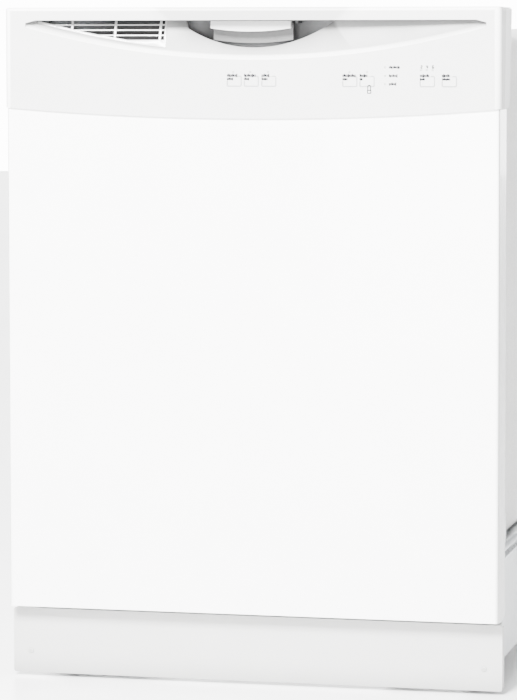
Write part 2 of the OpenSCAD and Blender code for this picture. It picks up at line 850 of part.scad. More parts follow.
// A flat arm with rounded tips, a hub over its bearing, and rows of jets.
module spray_arm(reach, z, tall, hub_low) {
    jets = 6;
    difference() {
        union() {
            rod_z(0, centre_y, hub_low, z + tall, 17);
            translate([0, centre_y, z]) linear_extrude(height = tall) {
                translate([-reach + 17, -17]) square([2 * reach - 34, 34]);
                for (s = [-1, 1]) translate([s * (reach - 17), 0]) circle(17);
            }
        }
        children();
        for (s = [-1, 1], i = [1:jets]) rod_z(s * i * (reach - 20) / jets, centre_y + s * 7 * (i % 2),
            z + tall - 2, z + tall + e, 2);
    }
}

module lower_spray_arm() {
    color([0.5, 0.53, 0.56]) spray_arm(lower_arm_r, track_z + 5, 9, floor_z + 4.5)
        rod_z(0, centre_y, floor_z, track_z + 1.6, 9 + run);
}

module upper_spray_arm() {
    color([0.5, 0.53, 0.56]) spray_arm(upper_arm_r, upper_rack_z - 34, 8, upper_rack_z - 34)
        rod_z(0, centre_y, upper_rack_z - 31, upper_rack_z - 20, 7 + run);
}

// ---- racks ----

// Crossed floor wires, uprights, and two rims round the top. All are straight, so all stay apart.
module basket(half, y0, y1, z0, tall, pitch) {
    r = wire_r;
    gap = 2 * r + 0.1;
    nx = floor((half - 14) / pitch);
    ny = floor((y1 - y0 - 20) / pitch);
    first = y0 + (y1 - y0 - ny * pitch) / 2;
    for (i = [-nx:nx]) {
        rod_y(i * pitch, y0, y1, z0, r, $fn = wire_fn);
        for (y = [y0 - gap / 2, y1 + gap / 2]) rod_z(i * pitch, y, z0 - r, z0 + tall, r, $fn = wire_fn);
    }
    for (j = [0:ny]) {
        y = first + j * pitch;
        rod_x(-half, half, y, z0 + gap, r, $fn = wire_fn);
        for (s = [-1, 1]) rod_z(s * (half + gap / 2), y, z0, z0 + tall, r, $fn = wire_fn);
    }
    for (z = [z0 + tall * 0.55, z0 + tall]) {
        for (s = [-1, 1])
            rod_y(s * (half + gap * 1.5), y0 - gap * 1.5, y1 + gap * 1.5, z, r, $fn = wire_fn);
        for (y = [y0 - gap * 1.5, y1 + gap * 1.5])
            rod_x(-half - gap, half + gap, y, z, r, $fn = wire_fn);
    }
}

module tine_row(x0, step, count, y, z, tall) {
    for (i = [0:count - 1]) rod_z(x0 + i * step, y, z, z + tall, tine_r, $fn = wire_fn);
}

module lower_rack() {
    z = lower_rack_z;
    floor_top = z + 3 * wire_r + 0.2;
    color([0.55, 0.57, 0.6]) {
        basket(lower_half - 6, rack_front + 6, rack_back - 6, z, lower_rack_h, 36);
        for (y = [-90, -40]) tine_row(-198, 36, 8, y, floor_top, 90);
        for (y = [180, 215]) tine_row(-198, 36, 12, y, floor_top, 90);
        both_sides() for (y = wheel_y) {
            rod_x(lower_half + 3.5, 259, y, axle_z, axle_r);
            span(lower_half + 3.2, lower_half + 6, y - 8, y + 8, axle_z - 5, z + 40);
        }
    }
}

module upper_rack() {
    z = upper_rack_z;
    floor_top = z + 3 * wire_r + 0.2;
    color([0.55, 0.57, 0.6]) {
        basket(upper_half - 6, rack_front + 6, rack_back - 6, z, upper_rack_h, 36);
        for (y = [20, 56]) tine_row(-18, 36, 6, y, floor_top, 60);
        // plastic feed pipe under the rack, with the bearing of the upper spray arm
        rod_y(0, centre_y - 10, tub_back - 33, z - 12, 7);
        rod_z(0, centre_y, z - 30, z - 14, 7);
        both_sides() for (y = [-120, 170])
            span(upper_half + 3.2, 241.5, y - 25, y + 25, rail_z - 10, rail_z + 10);
    }
}

// Channels that the upper rack hangs on; the tub's rollers run inside them.
module rack_rails() {
    high = 9.4;
    t = 1.6;
    color([0.7, 0.72, 0.74]) both_sides() {
        y0 = flange_y + 14;
        y1 = tub_back - 14;
        span(242, 244, y0, y1, rail_z - high - t, rail_z + high + t);
        for (s = [-1, 1]) span(244, 262, y0, y1, rail_z + s * (high + t / 2) - t / 2,
            rail_z + s * (high + t / 2) + t / 2);
    }
}

module rail_rollers(y) {
    color([0.9, 0.9, 0.88]) both_sides() difference() {
        rod_x(249, 257, y, rail_z, 9);
        rod_x(248, 258, y, rail_z, axle_r + run);
    }
}

module rack_wheels(y) {
    color([0.6, 0.62, 0.65]) both_sides() difference() {
        rod_x(lower_half + 8, 258, y, axle_z, wheel_r);
        rod_x(lower_half + 7, 259, y, axle_z, axle_r + run);
    }
}

module silverware_basket() {
    x0 = 132;
    x1 = 216;
    y0 = -150;
    y1 = 90;
    z0 = lower_rack_z + 8;
    tall = 112;
    cells = 4;
    t = 2;
    pitch = (y1 - y0 - t) / cells;
    color([0.5, 0.53, 0.57]) {
        difference() {
            span(x0, x1, y0, y1, z0, z0 + tall);
            for (i = [0:cells - 1]) span(x0 + t, x1 - t, y0 + t + i * pitch, y0 + (i + 1) * pitch,
                z0 + t, z0 + tall + e);
        }
        for (y = [y0, y1 - t]) span(171, 177, y, y + t, z0 + tall, z0 + tall + 30);
        span(171, 177, y0, y1, z0 + tall + 30, z0 + tall + 36);
    }
}

// A wire shelf for cups that folds up about a rod along its outer edge.
module cup_shelf() {
    x0 = -212;
    reach = 90;
    z = upper_rack_z + upper_rack_h - 8;
    color([0.55, 0.57, 0.6]) {
        for (x = [x0, x0 + reach]) rod_y(x, -105, 145, z, wire_r, $fn = wire_fn);
        for (y = [-100:40:140]) rod_x(x0 + wire_r + 0.05, x0 + reach - wire_r - 0.05, y, z, tine_r,
            $fn = wire_fn);
    }
}

// A row of lower-rack tines on a rod, which folds down towards the door.
module folding_tines() {
    z = lower_rack_z + 3 * wire_r + 3;
    y = 132;
    color([0.55, 0.57, 0.6]) {
        rod_x(-205, 110, y, z, wire_r, $fn = wire_fn);
        tine_row(-180, 36, 9, y, z + wire_r + 0.05, 86);
    }
}

// ---- the parts ----

console_fascia();
console_back();
vent_grille();
vent_flap();
handle_pocket();
latch_handle();
latch_hook();
button(0);  // heavy_wash_button
button(1);  // normal_wash_button
button(2);  // light_wash_button
button(3);  // high_temp_button
button(4);  // heat_dry_button
button(5);  // delay_start_button
button(6);  // start_button
status_lights();
control_board();
door_panel();
door_liner();
door_insulation();
detergent_dispenser();
detergent_lid();
rinse_aid_cap();
hinge_arms();
door_springs();
tub();
tub_gasket();
tub_insulation();
base_frame();
hinge_brackets();
toe_kick();
access_panel();
toe_kick_screws();
leg(-1, leg_y[0]);  // front_left_leg
leg(1, leg_y[0]);  // front_right_leg
leg(-1, leg_y[1]);  // rear_left_leg
leg(1, leg_y[1]);  // rear_right_leg
mounting_brackets();
latch_strike();
sump();
filter();
wash_pump();
pump_rotor();
drain_pump();
heating_element();
float();
inlet_valve();
junction_box();
feed_tube();
lower_spray_arm();
upper_spray_arm();
lower_rack();
upper_rack();
rack_rails();
rail_rollers(flange_y + 30);  // front_rail_rollers
rail_rollers(flange_y + 72);  // rear_rail_rollers
rack_wheels(wheel_y[0]);  // front_rack_wheels
rack_wheels(wheel_y[1]);  // rear_rack_wheels
silverware_basket();
cup_shelf();
folding_tines();
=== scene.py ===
import json
import math

import bmesh
import bpy
from mathutils import Matrix, Vector, noise


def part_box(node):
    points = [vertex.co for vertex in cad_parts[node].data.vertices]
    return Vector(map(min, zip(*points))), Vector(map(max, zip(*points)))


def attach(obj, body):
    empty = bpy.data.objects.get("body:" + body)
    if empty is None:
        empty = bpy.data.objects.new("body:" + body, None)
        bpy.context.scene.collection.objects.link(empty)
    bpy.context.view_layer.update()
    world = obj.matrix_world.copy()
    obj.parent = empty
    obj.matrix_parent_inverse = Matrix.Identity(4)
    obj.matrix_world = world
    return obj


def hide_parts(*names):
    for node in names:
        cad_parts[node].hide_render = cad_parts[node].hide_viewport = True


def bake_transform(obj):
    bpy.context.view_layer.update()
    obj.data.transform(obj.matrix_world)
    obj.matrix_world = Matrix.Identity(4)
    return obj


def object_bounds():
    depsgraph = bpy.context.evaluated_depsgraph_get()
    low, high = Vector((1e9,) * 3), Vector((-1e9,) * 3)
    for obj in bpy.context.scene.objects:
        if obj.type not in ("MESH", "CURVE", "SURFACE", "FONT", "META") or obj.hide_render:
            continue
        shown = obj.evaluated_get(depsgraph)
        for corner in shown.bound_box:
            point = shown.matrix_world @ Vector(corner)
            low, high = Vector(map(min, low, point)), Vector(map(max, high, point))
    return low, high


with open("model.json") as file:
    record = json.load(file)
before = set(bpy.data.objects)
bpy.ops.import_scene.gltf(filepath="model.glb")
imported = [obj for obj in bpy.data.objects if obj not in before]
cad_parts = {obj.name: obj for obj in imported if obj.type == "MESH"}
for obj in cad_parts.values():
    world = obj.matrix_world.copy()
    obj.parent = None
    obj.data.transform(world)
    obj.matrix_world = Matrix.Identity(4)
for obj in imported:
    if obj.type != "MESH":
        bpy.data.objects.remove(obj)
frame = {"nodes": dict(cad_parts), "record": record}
cad_lo, cad_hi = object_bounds()
NODES = frame["nodes"]
MM = 0.001
# Every length below is in millimetres, in the CAD's frame, unless its comment says otherwise.
FRONT, TOP = cad_lo.y / MM, cad_hi.z / MM
BOTH = (-1, 1)
TURN = 2 * math.pi


def box(name):
    """A CAD node's lowest corner, highest corner and middle, in millimetres."""
    lo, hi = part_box(name)
    lo, hi = Vector(lo) / MM, Vector(hi) / MM
    return lo, hi, (lo + hi) / 2


# ---------------- materials

def shader(name, **values):
    """A new material with a Principled shader, and its tree."""
    m = bpy.data.materials.new(name)
    m.use_nodes = True
    bsdf = m.node_tree.nodes["Principled BSDF"]
    for key, value in values.items():
        bsdf.inputs[key.replace("_", " ")].default_value = value
    return m, m.node_tree, bsdf


def node(tree, kind, **values):
    """A new shader node. Each value sets an input or a setting, and a socket is linked to its input."""
    n = tree.nodes.new("ShaderNode" + kind)
    for key, value in values.items():
        name = key.replace("_", " ")
        if name not in n.inputs:
            setattr(n, key, value)
        elif isinstance(value, bpy.types.NodeSocket):
            tree.links.new(value, n.inputs[name])
        else:
            n.inputs[name].default_value = value
    return n


def feed(bsdf, **sockets):
    """Link sockets to a shader's inputs."""
    for key, socket in sockets.items():
        bsdf.id_data.links.new(socket, bsdf.inputs[key.replace("_", " ")])


def combine(tree, operation, *values, kind="Math"):
    """The result of a Math or VectorMath node on sockets and plain values."""
    n = node(tree, kind, operation=operation)
    for socket, value in zip(n.inputs, values):
        if isinstance(value, bpy.types.NodeSocket):
            tree.links.new(value, socket)
        else:
            socket.default_value = value
    return n.outputs["Value"] if operation == "DISTANCE" else n.outputs[0]


def place(tree):
    """A piece's object coordinates, in metres: they are the machine's own frame."""
    return node(tree, "TexCoord").outputs["Object"]


def where(tree):
    """Sockets for x, y and z in the machine's frame, in metres."""
    return node(tree, "SeparateXYZ", Vector=place(tree)).outputs


def tint(color, k):
    return (*(min(1, value * k) for value in color), 1)


def two_tone(tree, value, low, high, at=(0, 1)):
    """A colour that turns from low to high while value goes through the range at."""
    n = node(tree, "ValToRGB", Fac=value)
    for element, color, position in zip(n.color_ramp.elements, (low, high), at):
        element.color, element.position = color, position
    return n.outputs["Color"]


def spread(tree, value, low, high, **span):
    """A value carried on to the range from low to high."""
    return node(tree, "MapRange", Value=value, To_Min=low, To_Max=high, **span).outputs[0]


def grey_ramp(tree, value, low, high, *stops):
    """A grey that runs through stops of (position 0 to 1, brightness) while value goes from low to high."""
    curve = node(tree, "FloatCurve", Value=spread(tree, value, 0, 1, From_Min=low, From_Max=high))
    points = curve.mapping.curves[0].points
    while len(points) < len(stops):
        points.new(0.5, 0.5)
    curve.mapping.use_clip = False
    for point, stop in zip(points, stops):
        point.location = stop
        point.handle_type = "VECTOR"
    curve.mapping.update()
    return curve.outputs[0]


def shaded(material, grey):
    """Multiply a material's base colour by a grey socket."""
    tree = material.node_tree
    bsdf = tree.nodes["Principled BSDF"]
    mix = node(tree, "Mix", data_type="RGBA", blend_type="MULTIPLY")
    mix.inputs[0].default_value = 1.0
    tree.links.new(bsdf.inputs["Base Color"].links[0].from_socket, mix.inputs[6])
    tree.links.new(grey, mix.inputs[7])
    feed(bsdf, Base_Color=mix.outputs[2])


def finish_material(tree, bsdf, color, rough, vary, scale, bump, bump_scale, bump_depth, rough_vary):
    """Colour, roughness and bump from noise in object space. Scales are in cycles a metre."""
    big = node(tree, "TexNoise", Vector=place(tree), Scale=scale, Detail=3).outputs["Fac"]
    fine = node(tree, "TexNoise", Vector=place(tree), Scale=bump_scale, Detail=2).outputs["Fac"]
    feed(bsdf, Base_Color=two_tone(tree, big, tint(color, 1 - vary), tint(color, 1 + vary), (0.3, 0.7)),
         Roughness=spread(tree, big, max(0.02, rough - rough_vary), rough + rough_vary),
         Normal=node(tree, "Bump", Height=fine, Strength=bump, Distance=bump_depth).outputs[0])


def plastic(name, color, rough=0.35, bump=0.15, bump_scale=1400, coat=0.0, vary=0.015, crevice_shade=0.0):
    """A moulded or painted surface. Its crevice value paints shade into its corners and seams, where ambient
    occlusion finds them enclosed.
    """
    m, tree, bsdf = shader(name, Coat_Weight=coat)
    finish_material(tree, bsdf, color, rough, vary, 14, bump, bump_scale, 0.0001, 0.03)
    if crevice_shade:
        # painted shade: the base colour is darkened where ambient occlusion is low
        open_air = node(tree, "AmbientOcclusion", Distance=0.035, samples=8).outputs["AO"]
        shaded(m, spread(tree, open_air, 1 - crevice_shade, 1, From_Min=0.35, From_Max=0.95))
    return m


def metal(name, color, rough, vary=0.08, scale=70):
    m, tree, bsdf = shader(name, Metallic=1.0)
    finish_material(tree, bsdf, color, rough, vary, scale, 0.12, 700, 0.00005, 0.09)
    return m


def galvanised(name):
    """Zinc spangle: cells of slightly different brightness."""
    m, tree, bsdf = shader(name, Metallic=1.0)
    warp = node(tree, "TexNoise", Vector=place(tree), Scale=60, Detail=2).outputs["Color"]
    uneven = combine(tree, "MULTIPLY_ADD", warp, (0.012, 0.012, 0.012), place(tree), kind="VectorMath")
    cells = node(tree, "TexVoronoi", Vector=uneven, Scale=120).outputs["Color"]
    feed(bsdf, Base_Color=two_tone(tree, cells, (0.46, 0.48, 0.49, 1), (0.6, 0.62, 0.63, 1)),
         Roughness=spread(tree, cells, 0.32, 0.5))
    return m


def felt(name, color):
    """Pressed fibre: two crossed, stretched noises for strands, and a soft sheen."""
    m, tree, bsdf = shader(name, Sheen_Weight=0.3, Sheen_Roughness=0.6, Roughness=0.95)
    strands = []
    for stretch in ((1, 6, 2), (6, 1, 3)):
        at = node(tree, "Mapping", Vector=place(tree), Scale=stretch, Rotation=(0.4, 0.3, 0.7)).outputs[0]
        strands.append(node(tree, "TexNoise", Vector=at, Scale=90, Detail=6, Distortion=1.2).outputs["Fac"])
    both = combine(tree, "MAXIMUM", *strands)
    feed(bsdf, Base_Color=two_tone(tree, both, tint(color, 0.82), tint(color, 1.06), (0.4, 0.75)),
         Normal=node(tree, "Bump", Height=both, Strength=0.6, Distance=0.0012).outputs[0])
    return m


WHITE, ENAMEL = (0.57, 0.57, 0.565), (0.97, 0.97, 0.965)
MATS = {
    # white mouldings carry painted shade in their crevices
    "white_abs": plastic("white_moulding_crevice_shade", WHITE, 0.3, 0.05, 900, coat=0.15, crevice_shade=0.6),
    "white_paint": plastic("white_enamel", ENAMEL, 0.26, 0.07, 260, coat=0.3),
    # the toe kick's enamel is a darker, shaded copy of the door's white with painted crevice shade: painted
    # shade under the door
    "toe_paint": plastic("toe_enamel_painted_shade", (0.47, 0.47, 0.463), 0.4, 0.08, 300, crevice_shade=0.5),
    "grey_abs": plastic("light_grey_moulding", (0.52, 0.53, 0.53), 0.45, 0.25, 1500),
    "tub_plastic": plastic("tub_polypropylene", (0.42, 0.44, 0.46), 0.42, 0.2, 700, vary=0.03),
    "liner_plastic": plastic("liner_polypropylene", (0.5, 0.52, 0.535), 0.38, 0.2, 700, vary=0.03),
    "dark_plastic": plastic("dark_polypropylene", (0.045, 0.047, 0.05), 0.5, 0.3, 1100, vary=0.1),
    "mid_plastic": plastic("grey_polypropylene", (0.2, 0.22, 0.24), 0.42, 0.25, 900, vary=0.05),
    "blue_plastic": plastic("blue_cap", (0.05, 0.16, 0.36), 0.3, 0.1, 900),
    "light_pipe": plastic("light_pipe", (0.4, 0.42, 0.4), 0.15, 0.02, 900),
    "board": plastic("solder_mask", (0.01, 0.12, 0.05), 0.3, 0.3, 500, vary=0.2),
    "coated_wire": plastic("coated_wire", (0.3, 0.31, 0.33), 0.35, 0.15, 800, vary=0.04),
    "galvanised": galvanised("zinc_spangle"),
    "steel": metal("zinc_plated_steel", (0.6, 0.62, 0.64), 0.28),
    "element": metal("heater_sheath", (0.2, 0.18, 0.17), 0.5, vary=0.3, scale=120),
    "rubber": plastic("gasket_rubber", (0.13, 0.135, 0.14), 0.65, 0.3, 900, vary=0.06),
    "mastic": plastic("bitumen_pad", (0.02, 0.02, 0.022), 0.85, 0.8, 220, vary=0.3),
    "felt": felt("fibre_blanket", (0.8, 0.8, 0.785)),
}
SLOT = {s["node"]: s["material_slot"] for s in frame["record"]["subparts"]}
BODY = {n: b for b, ns in frame["record"]["behaviour"]["bodies"].items() for n in ns}
for name, obj in NODES.items():
    obj.data.materials.clear()
    obj.data.materials.append(MATS[SLOT[name]])

# ---------------- camera

YAW, PITCH, ROLL = math.radians(13.01), math.radians(3.87), math.radians(-0.07)
CAM_AT = Vector((930.3, FRONT - 3975.5, TOP - 24.7)) * MM
# the picture is 700 high, in its own pixels
PICTURE_H, FOCAL_PX, SHIFT_PX, SENSOR = 700, 3430.4, 90, 36
ahead = Vector((-math.sin(YAW) * math.cos(PITCH), math.cos(YAW) * math.cos(PITCH), -math.sin(PITCH)))
right = Vector((math.cos(YAW), math.sin(YAW), 0))
up = right.cross(ahead)
right, up = right * math.cos(ROLL) + up * math.sin(ROLL), up * math.cos(ROLL) - right * math.sin(ROLL)
cam_data = bpy.data.cameras.new("camera")
cam = bpy.data.objects.new("camera", cam_data)
bpy.context.collection.objects.link(cam)
turn = Matrix((right, up, -ahead)).transposed().to_4x4()
cam.matrix_world = Matrix.Translation(CAM_AT) @ turn
cam_data.sensor_width = SENSOR
cam_data.lens = FOCAL_PX / PICTURE_H * SENSOR
cam_data.shift_y = -SHIFT_PX / PICTURE_H
cam_data.clip_end = 60
bpy.context.scene.camera = cam

# ---------------- mesh tools, in millimetres

# drawn flat as (x, y) and raised along z, then stood up: seen from the side (y, z), front (x, z) or top
AXES = {"x": Matrix(((0, 0, 1), (1, 0, 0), (0, 1, 0))),
        "y": Matrix(((1, 0, 0), (0, 0, 1), (0, 1, 0))),
        "z": Matrix.Identity(3)}


def turned(axis, at=(0, 0, 0)):
    """Local Z becomes the named axis, with its origin at a point."""
    return Matrix.Translation(Vector(at)) @ AXES[axis].to_4x4()


def round_points(r, count):
    """Points (x, y) evenly round a circle."""
    return [(r * math.cos(a), r * math.sin(a)) for a in (TURN * k / count for k in range(count))]


def rounded(w, h, r, steps=5):
    """Corner points of a rounded rectangle with half sizes w and h, anticlockwise."""
    out = []
    for k, (sx, sy) in enumerate(((1, 1), (-1, 1), (-1, -1), (1, -1))):
        for i in range(steps + 1):
            a = math.pi / 2 * (k + i / steps)
            out.append((sx * (w - r) + r * math.cos(a), sy * (h - r) + r * math.sin(a)))
    return out


def bend(points, r, steps=5, closed=False):
    """A polyline with its corners rounded off."""
    pts = [Vector(p) for p in points]
    out = []
    for i, p in enumerate(pts):
        if not closed and i in (0, len(pts) - 1):
            out.append(p)
            continue
        a, b = pts[i - 1] - p, pts[(i + 1) % len(pts)] - p
        c = min(r, a.length * 0.49, b.length * 0.49)
        a, b = p + a.normalized() * c, p + b.normalized() * c
        for k in range(steps + 1):
            t = k / steps
            out.append(a * (1 - t) ** 2 + p * 2 * t * (1 - t) + b * t * t)
    return out


def helix(r, low, high, turns, steps, m, start=0.0):
    """Points of a coil round the Z axis of m, from low to high."""
    n = turns * steps
    return [m @ Vector((r * math.cos(start + TURN * i / steps), r * math.sin(start + TURN * i / steps),
                        low + (high - low) * i / n)) for i in range(n + 1)]


ON_AXIS = 1e-6


class Shape:
    """Vertices and faces of one piece."""

    def __init__(self):
        self.verts, self.faces = [], []

    def add(self, verts, faces, m=None):
        n = len(self.verts)
        self.verts += [tuple(m @ Vector(v)) if m is not None else tuple(v) for v in verts]
        self.faces += [tuple(i + n for i in f) for f in faces]
        return self

    def mirror(self):
        """Adds the same shape on the other side of x = 0."""
        return self.add([(-x, y, z) for x, y, z in self.verts], [f[::-1] for f in self.faces])

    def loft(self, rings, m=None, loop=False, caps=True):
        """Quads between closed rings of equally many points. A ring of one point is a pole."""
        verts, faces, starts = [], [], []
        for ring in rings:
            starts.append(len(verts))
            verts += list(ring)
        last = len(rings) - 1
        for a, b in list(zip(range(last), range(1, last + 1))) + ([(last, 0)] if loop else []):
            na, nb, sa, sb = len(rings[a]), len(rings[b]), starts[a], starts[b]
            for i in range(max(na, nb)):
                j = (i + 1) % max(na, nb)
                if na == 1:
                    faces.append((sa, sb + j, sb + i))
                elif nb == 1:
                    faces.append((sa + i, sa + j, sb))
                else:
                    faces.append((sa + i, sa + j, sb + j, sb + i))
        if caps and not loop:
            for k in (0, last):
                if len(rings[k]) > 2:
                    faces.append(tuple(starts[k] + i for i in range(len(rings[k]))))
        return self.add(verts, faces, m)

    def lathe(self, profile, axis, at, sides=40):
        """Turns (radius, height) points round an axis. A profile clear of the axis is closed on itself."""
        rings = [[(x, y, h) for x, y in round_points(r, sides if r > ON_AXIS else 1)] for r, h in profile]
        return self.loft(rings, turned(axis, at), loop=profile[0][0] > ON_AXIS, caps=False)

    def tube(self, path, r, sides=8, closed=False, flat=1.0):
        """A rod along a path, with domed ends. flat squeezes its section."""
        path = [Vector(p) for p in path]
        n = len(path)
        tangents = []
        for i in range(n):
            a = path[i - 1] if i or closed else path[i]
            b = path[(i + 1) % n] if i < n - 1 or closed else path[i]
            tangents.append((b - a).normalized())
        first = tangents[0]
        side = first.cross(Vector((0, 0, 1)) if abs(first.z) < 0.9 else Vector((1, 0, 0)))
        rings = []
        for i, t in enumerate(tangents):
            side = (side - t * side.dot(t)).normalized()
            other = t.cross(side) * flat

            def ring(inset, radius):
                at = path[i] + t * inset * r
                return [at + side * x + other * y for x, y in round_points(radius, sides)]

            if closed or 0 < i < n - 1:
                rings.append(ring(0, r))
            elif i == 0:
                rings += [[path[0]], ring(0.3, r * 0.7), ring(0.9, r)]
            else:
                rings += [ring(-0.9, r), ring(-0.3, r * 0.7), [path[i]]]
        return self.loft(rings, loop=closed, caps=False)

    def block(self, lo, hi, r=0.6, m=None):
        """A box with rounded edges."""
        lo, hi = Vector(lo), Vector(hi)
        bm = bmesh.new()
        bmesh.ops.create_cube(bm, size=1)
        bmesh.ops.scale(bm, vec=hi - lo, verts=bm.verts)
        bmesh.ops.translate(bm, vec=(lo + hi) / 2, verts=bm.verts)
        r = min(r, min(hi - lo) * 0.45)
        bmesh.ops.bevel(bm, geom=bm.edges[:], offset=r, segments=2, profile=0.5, affect="EDGES")
        bm.verts.index_update()
        verts = [v.co.copy() for v in bm.verts]
        faces = [tuple(v.index for v in f.verts) for f in bm.faces]
        bm.free()
        return self.add(verts, faces, m)

    def blocks_round(self, count, lo, hi, r, m, start=0.0, step=None):
        """A rounded box repeated round the Z axis of m."""
        for k in range(count):
            self.block(lo, hi, r, m @ Matrix.Rotation((k + start) * (step or TURN / count), 4, "Z"))

    def prism(self, outline, h0, h1, r=0.4, m=None):
        """A flat outline (x, y) raised from h0 to h1, with its rims rounded."""
        n = len(outline)
        pts = [Vector(p) for p in outline]
        area = sum(pts[i - 1].x * pts[i].y - pts[i].x * pts[i - 1].y for i in range(n))
        inward = []
        for i in range(n):
            a, b = (pts[i] - pts[i - 1]).normalized(), (pts[(i + 1) % n] - pts[i]).normalized()
            t = (a + b).normalized() if (a + b).length > 1e-6 else a
            inward.append(Vector((-t.y, t.x)) * math.copysign(1, area) / max(0.5, a.dot(t)))
        rims = ((r, h0), (r * 0.3, h0 + r * 0.3), (0, h0 + r), (0, h1 - r), (r * 0.3, h1 - r * 0.3), (r, h1))
        return self.loft([[(*(p + d * inset), h) for p, d in zip(pts, inward)] for inset, h in rims], m)


SHARP = 38


def smooth(mesh, sharp=SHARP):
    """Smooth shading up to a sharp angle in degrees."""
    mesh.polygons.foreach_set("use_smooth", [True] * len(mesh.polygons))
    mesh.set_sharp_from_angle(angle=math.radians(sharp))


def make(name, shape, sharp=SHARP):
    """The shape as an object in metres, with its normals turned outwards."""
    mesh = bpy.data.meshes.new(name)
    mesh.from_pydata([(x * MM, y * MM, z * MM) for x, y, z in shape.verts], [], shape.faces)
    bm = bmesh.new()
    bm.from_mesh(mesh)
    bmesh.ops.recalc_face_normals(bm, faces=bm.faces)
    bm.to_mesh(mesh)
    bm.free()
    smooth(mesh, sharp)
    mesh.update()
    obj = bpy.data.objects.new(name, mesh)
    bpy.context.collection.objects.link(obj)
    return obj


def dress(obj, slot, body, *replaced):
    """Material, slot, body and the CAD nodes it stands for."""
    obj.data.materials.clear()
    obj.data.materials.append(MATS[slot])
    if body:
        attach(obj, body)
    if replaced:
        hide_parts(*replaced)
    return obj


def stand_in(name, shape, replaced):
    """A piece that replaces a CAD node and takes its slot and body."""
    return dress(make(name, shape), SLOT[replaced], BODY[replaced], replaced)


def cut(obj, shape):
    """Subtracts a closed shape from an object's mesh."""
    tool = make("cutter", shape)
    mod = obj.modifiers.new("cut", "BOOLEAN")
    mod.operation, mod.solver, mod.object, mod.use_self = "DIFFERENCE", "EXACT", tool, True
    bpy.context.view_layer.update()
    spent = (obj.data, tool.data)
    obj.data = bpy.data.meshes.new_from_object(obj.evaluated_get(bpy.context.evaluated_depsgraph_get()))
    obj.modifiers.clear()
    bpy.data.objects.remove(tool)
    for mesh in spent:
        bpy.data.meshes.remove(mesh)
    smooth(obj.data)


def soften(name, width):
    """A small bevel on a CAD node's edges."""
    obj = NODES[name]
    obj.modifiers.new("weld", "WELD").merge_threshold = 1e-6
    mod = obj.modifiers.new("edges", "BEVEL")
    mod.width = width * MM
    mod.segments = 2
    mod.limit_method = "ANGLE"
    mod.angle_limit = math.radians(30)
    mod.use_clamp_overlap = mod.harden_normals = True


# ---------------- outside: soft edges on the CAD's own pieces

EDGES = {0.2: ("control_board", "status_lights"), 0.25: ("vent_grille",),
         0.3: ("vent_flap", "access_panel", "mounting_brackets", "rack_rails"),
         0.4: ("hinge_arms", "hinge_brackets", "latch_strike", *(n for n in NODES if n.endswith("_button"))),
         0.5: ("handle_pocket", "latch_hook", "door_panel", "base_frame", "toe_kick"), 0.6: ("console_back",),
         0.8: ("latch_handle", "detergent_dispenser", "detergent_lid", "rinse_aid_cap"),
         0.9: ("console_fascia",)}
for width, names in EDGES.items():
    for name in names:
        soften(name, width)


def repaint(name, material, grey):
    """A CAD node's own material, with its colour multiplied by a grey socket."""
    shaded(material, grey)
    NODES[name].data.materials[0] = material


# Painted shade on the eyebrow's wall, deeper under the rim and by the finger pocket, and a painted highlight
# on its lip.
fascia = plastic("console_moulding_painted_shade", WHITE, 0.45, 0.05, 900, crevice_shade=0.6)
tree = fascia.node_tree
_, y, z = where(tree)
RIM_Z = TOP - 15.3
# the pocket's lower edge is an arc of this radius, in metres, about this point
POCKET_R, POCKET_AT = 0.160, (4 * MM, 0, (TOP + 112) * MM)
# painted highlight on the lip, painted shade on the wall behind it
lip_highlight_wall_shade = grey_ramp(tree, y, FRONT * MM, (FRONT + 20) * MM,
                (0, 1.0), (0.02, 1.7), (0.35, 1.65), (0.4, 0.62), (1, 0.6))
in_front = combine(tree, "MULTIPLY", place(tree), (1, 0, 1), kind="VectorMath")
reach = combine(tree, "DISTANCE", in_front, POCKET_AT, kind="VectorMath")
# painted shade near the pocket's lower arc
pocket_shade = grey_ramp(tree, reach, POCKET_R, POCKET_R + 0.014, (0, 0.72), (0.4, 0.9), (1, 1))
# painted shade under the rim
shade_under_rim = grey_ramp(tree, z, (RIM_Z - 14) * MM, (RIM_Z - 1) * MM, (0, 0), (0.5, 0.06), (1, 0.2))
inside = grey_ramp(tree, y, (FRONT + 5) * MM, (FRONT + 9) * MM, (0, 0), (1, 1))
rim_shade = combine(tree, "SUBTRACT", 1, combine(tree, "MULTIPLY", shade_under_rim, inside))
shade = combine(tree, "MULTIPLY", combine(tree, "MULTIPLY", lip_highlight_wall_shade, pocket_shade), rim_shade)
repaint("console_fascia", fascia, shade)

# the lever's plate, behind its tongue, is painted darker: painted shade
lever = plastic("lever_moulding_painted_shade", (0.66, 0.66, 0.655), 0.35, 0.05, 900, crevice_shade=0.6)
tree = lever.node_tree
shade = grey_ramp(tree, where(tree)["Y"], (FRONT + 20) * MM, (FRONT + 29) * MM,
                  (0, 1), (0.2, 0.31), (1, 0.27))
repaint("latch_handle", lever, shade)

# the pocket is painted dark grey, with painted shade darkest beside the lever and painted lighter low down
pocket = plastic("pocket_grey_painted_shade", (0.2, 0.2, 0.205), 0.5, 0.3, 1300)
tree = pocket.node_tree
x, _, z = where(tree)
shade_beside_lever = grey_ramp(tree, combine(tree, "ABSOLUTE", x), 0.048, 0.098,
                  (0, 0.22), (0.25, 0.34), (0.7, 1.2), (1, 1.9))
lighter_low_down = grey_ramp(tree, z, (TOP - 48) * MM, (TOP - 40) * MM, (0, 2.0), (1, 0))
repaint("handle_pocket", pocket, combine(tree, "MAXIMUM", shade_beside_lever, lighter_low_down))

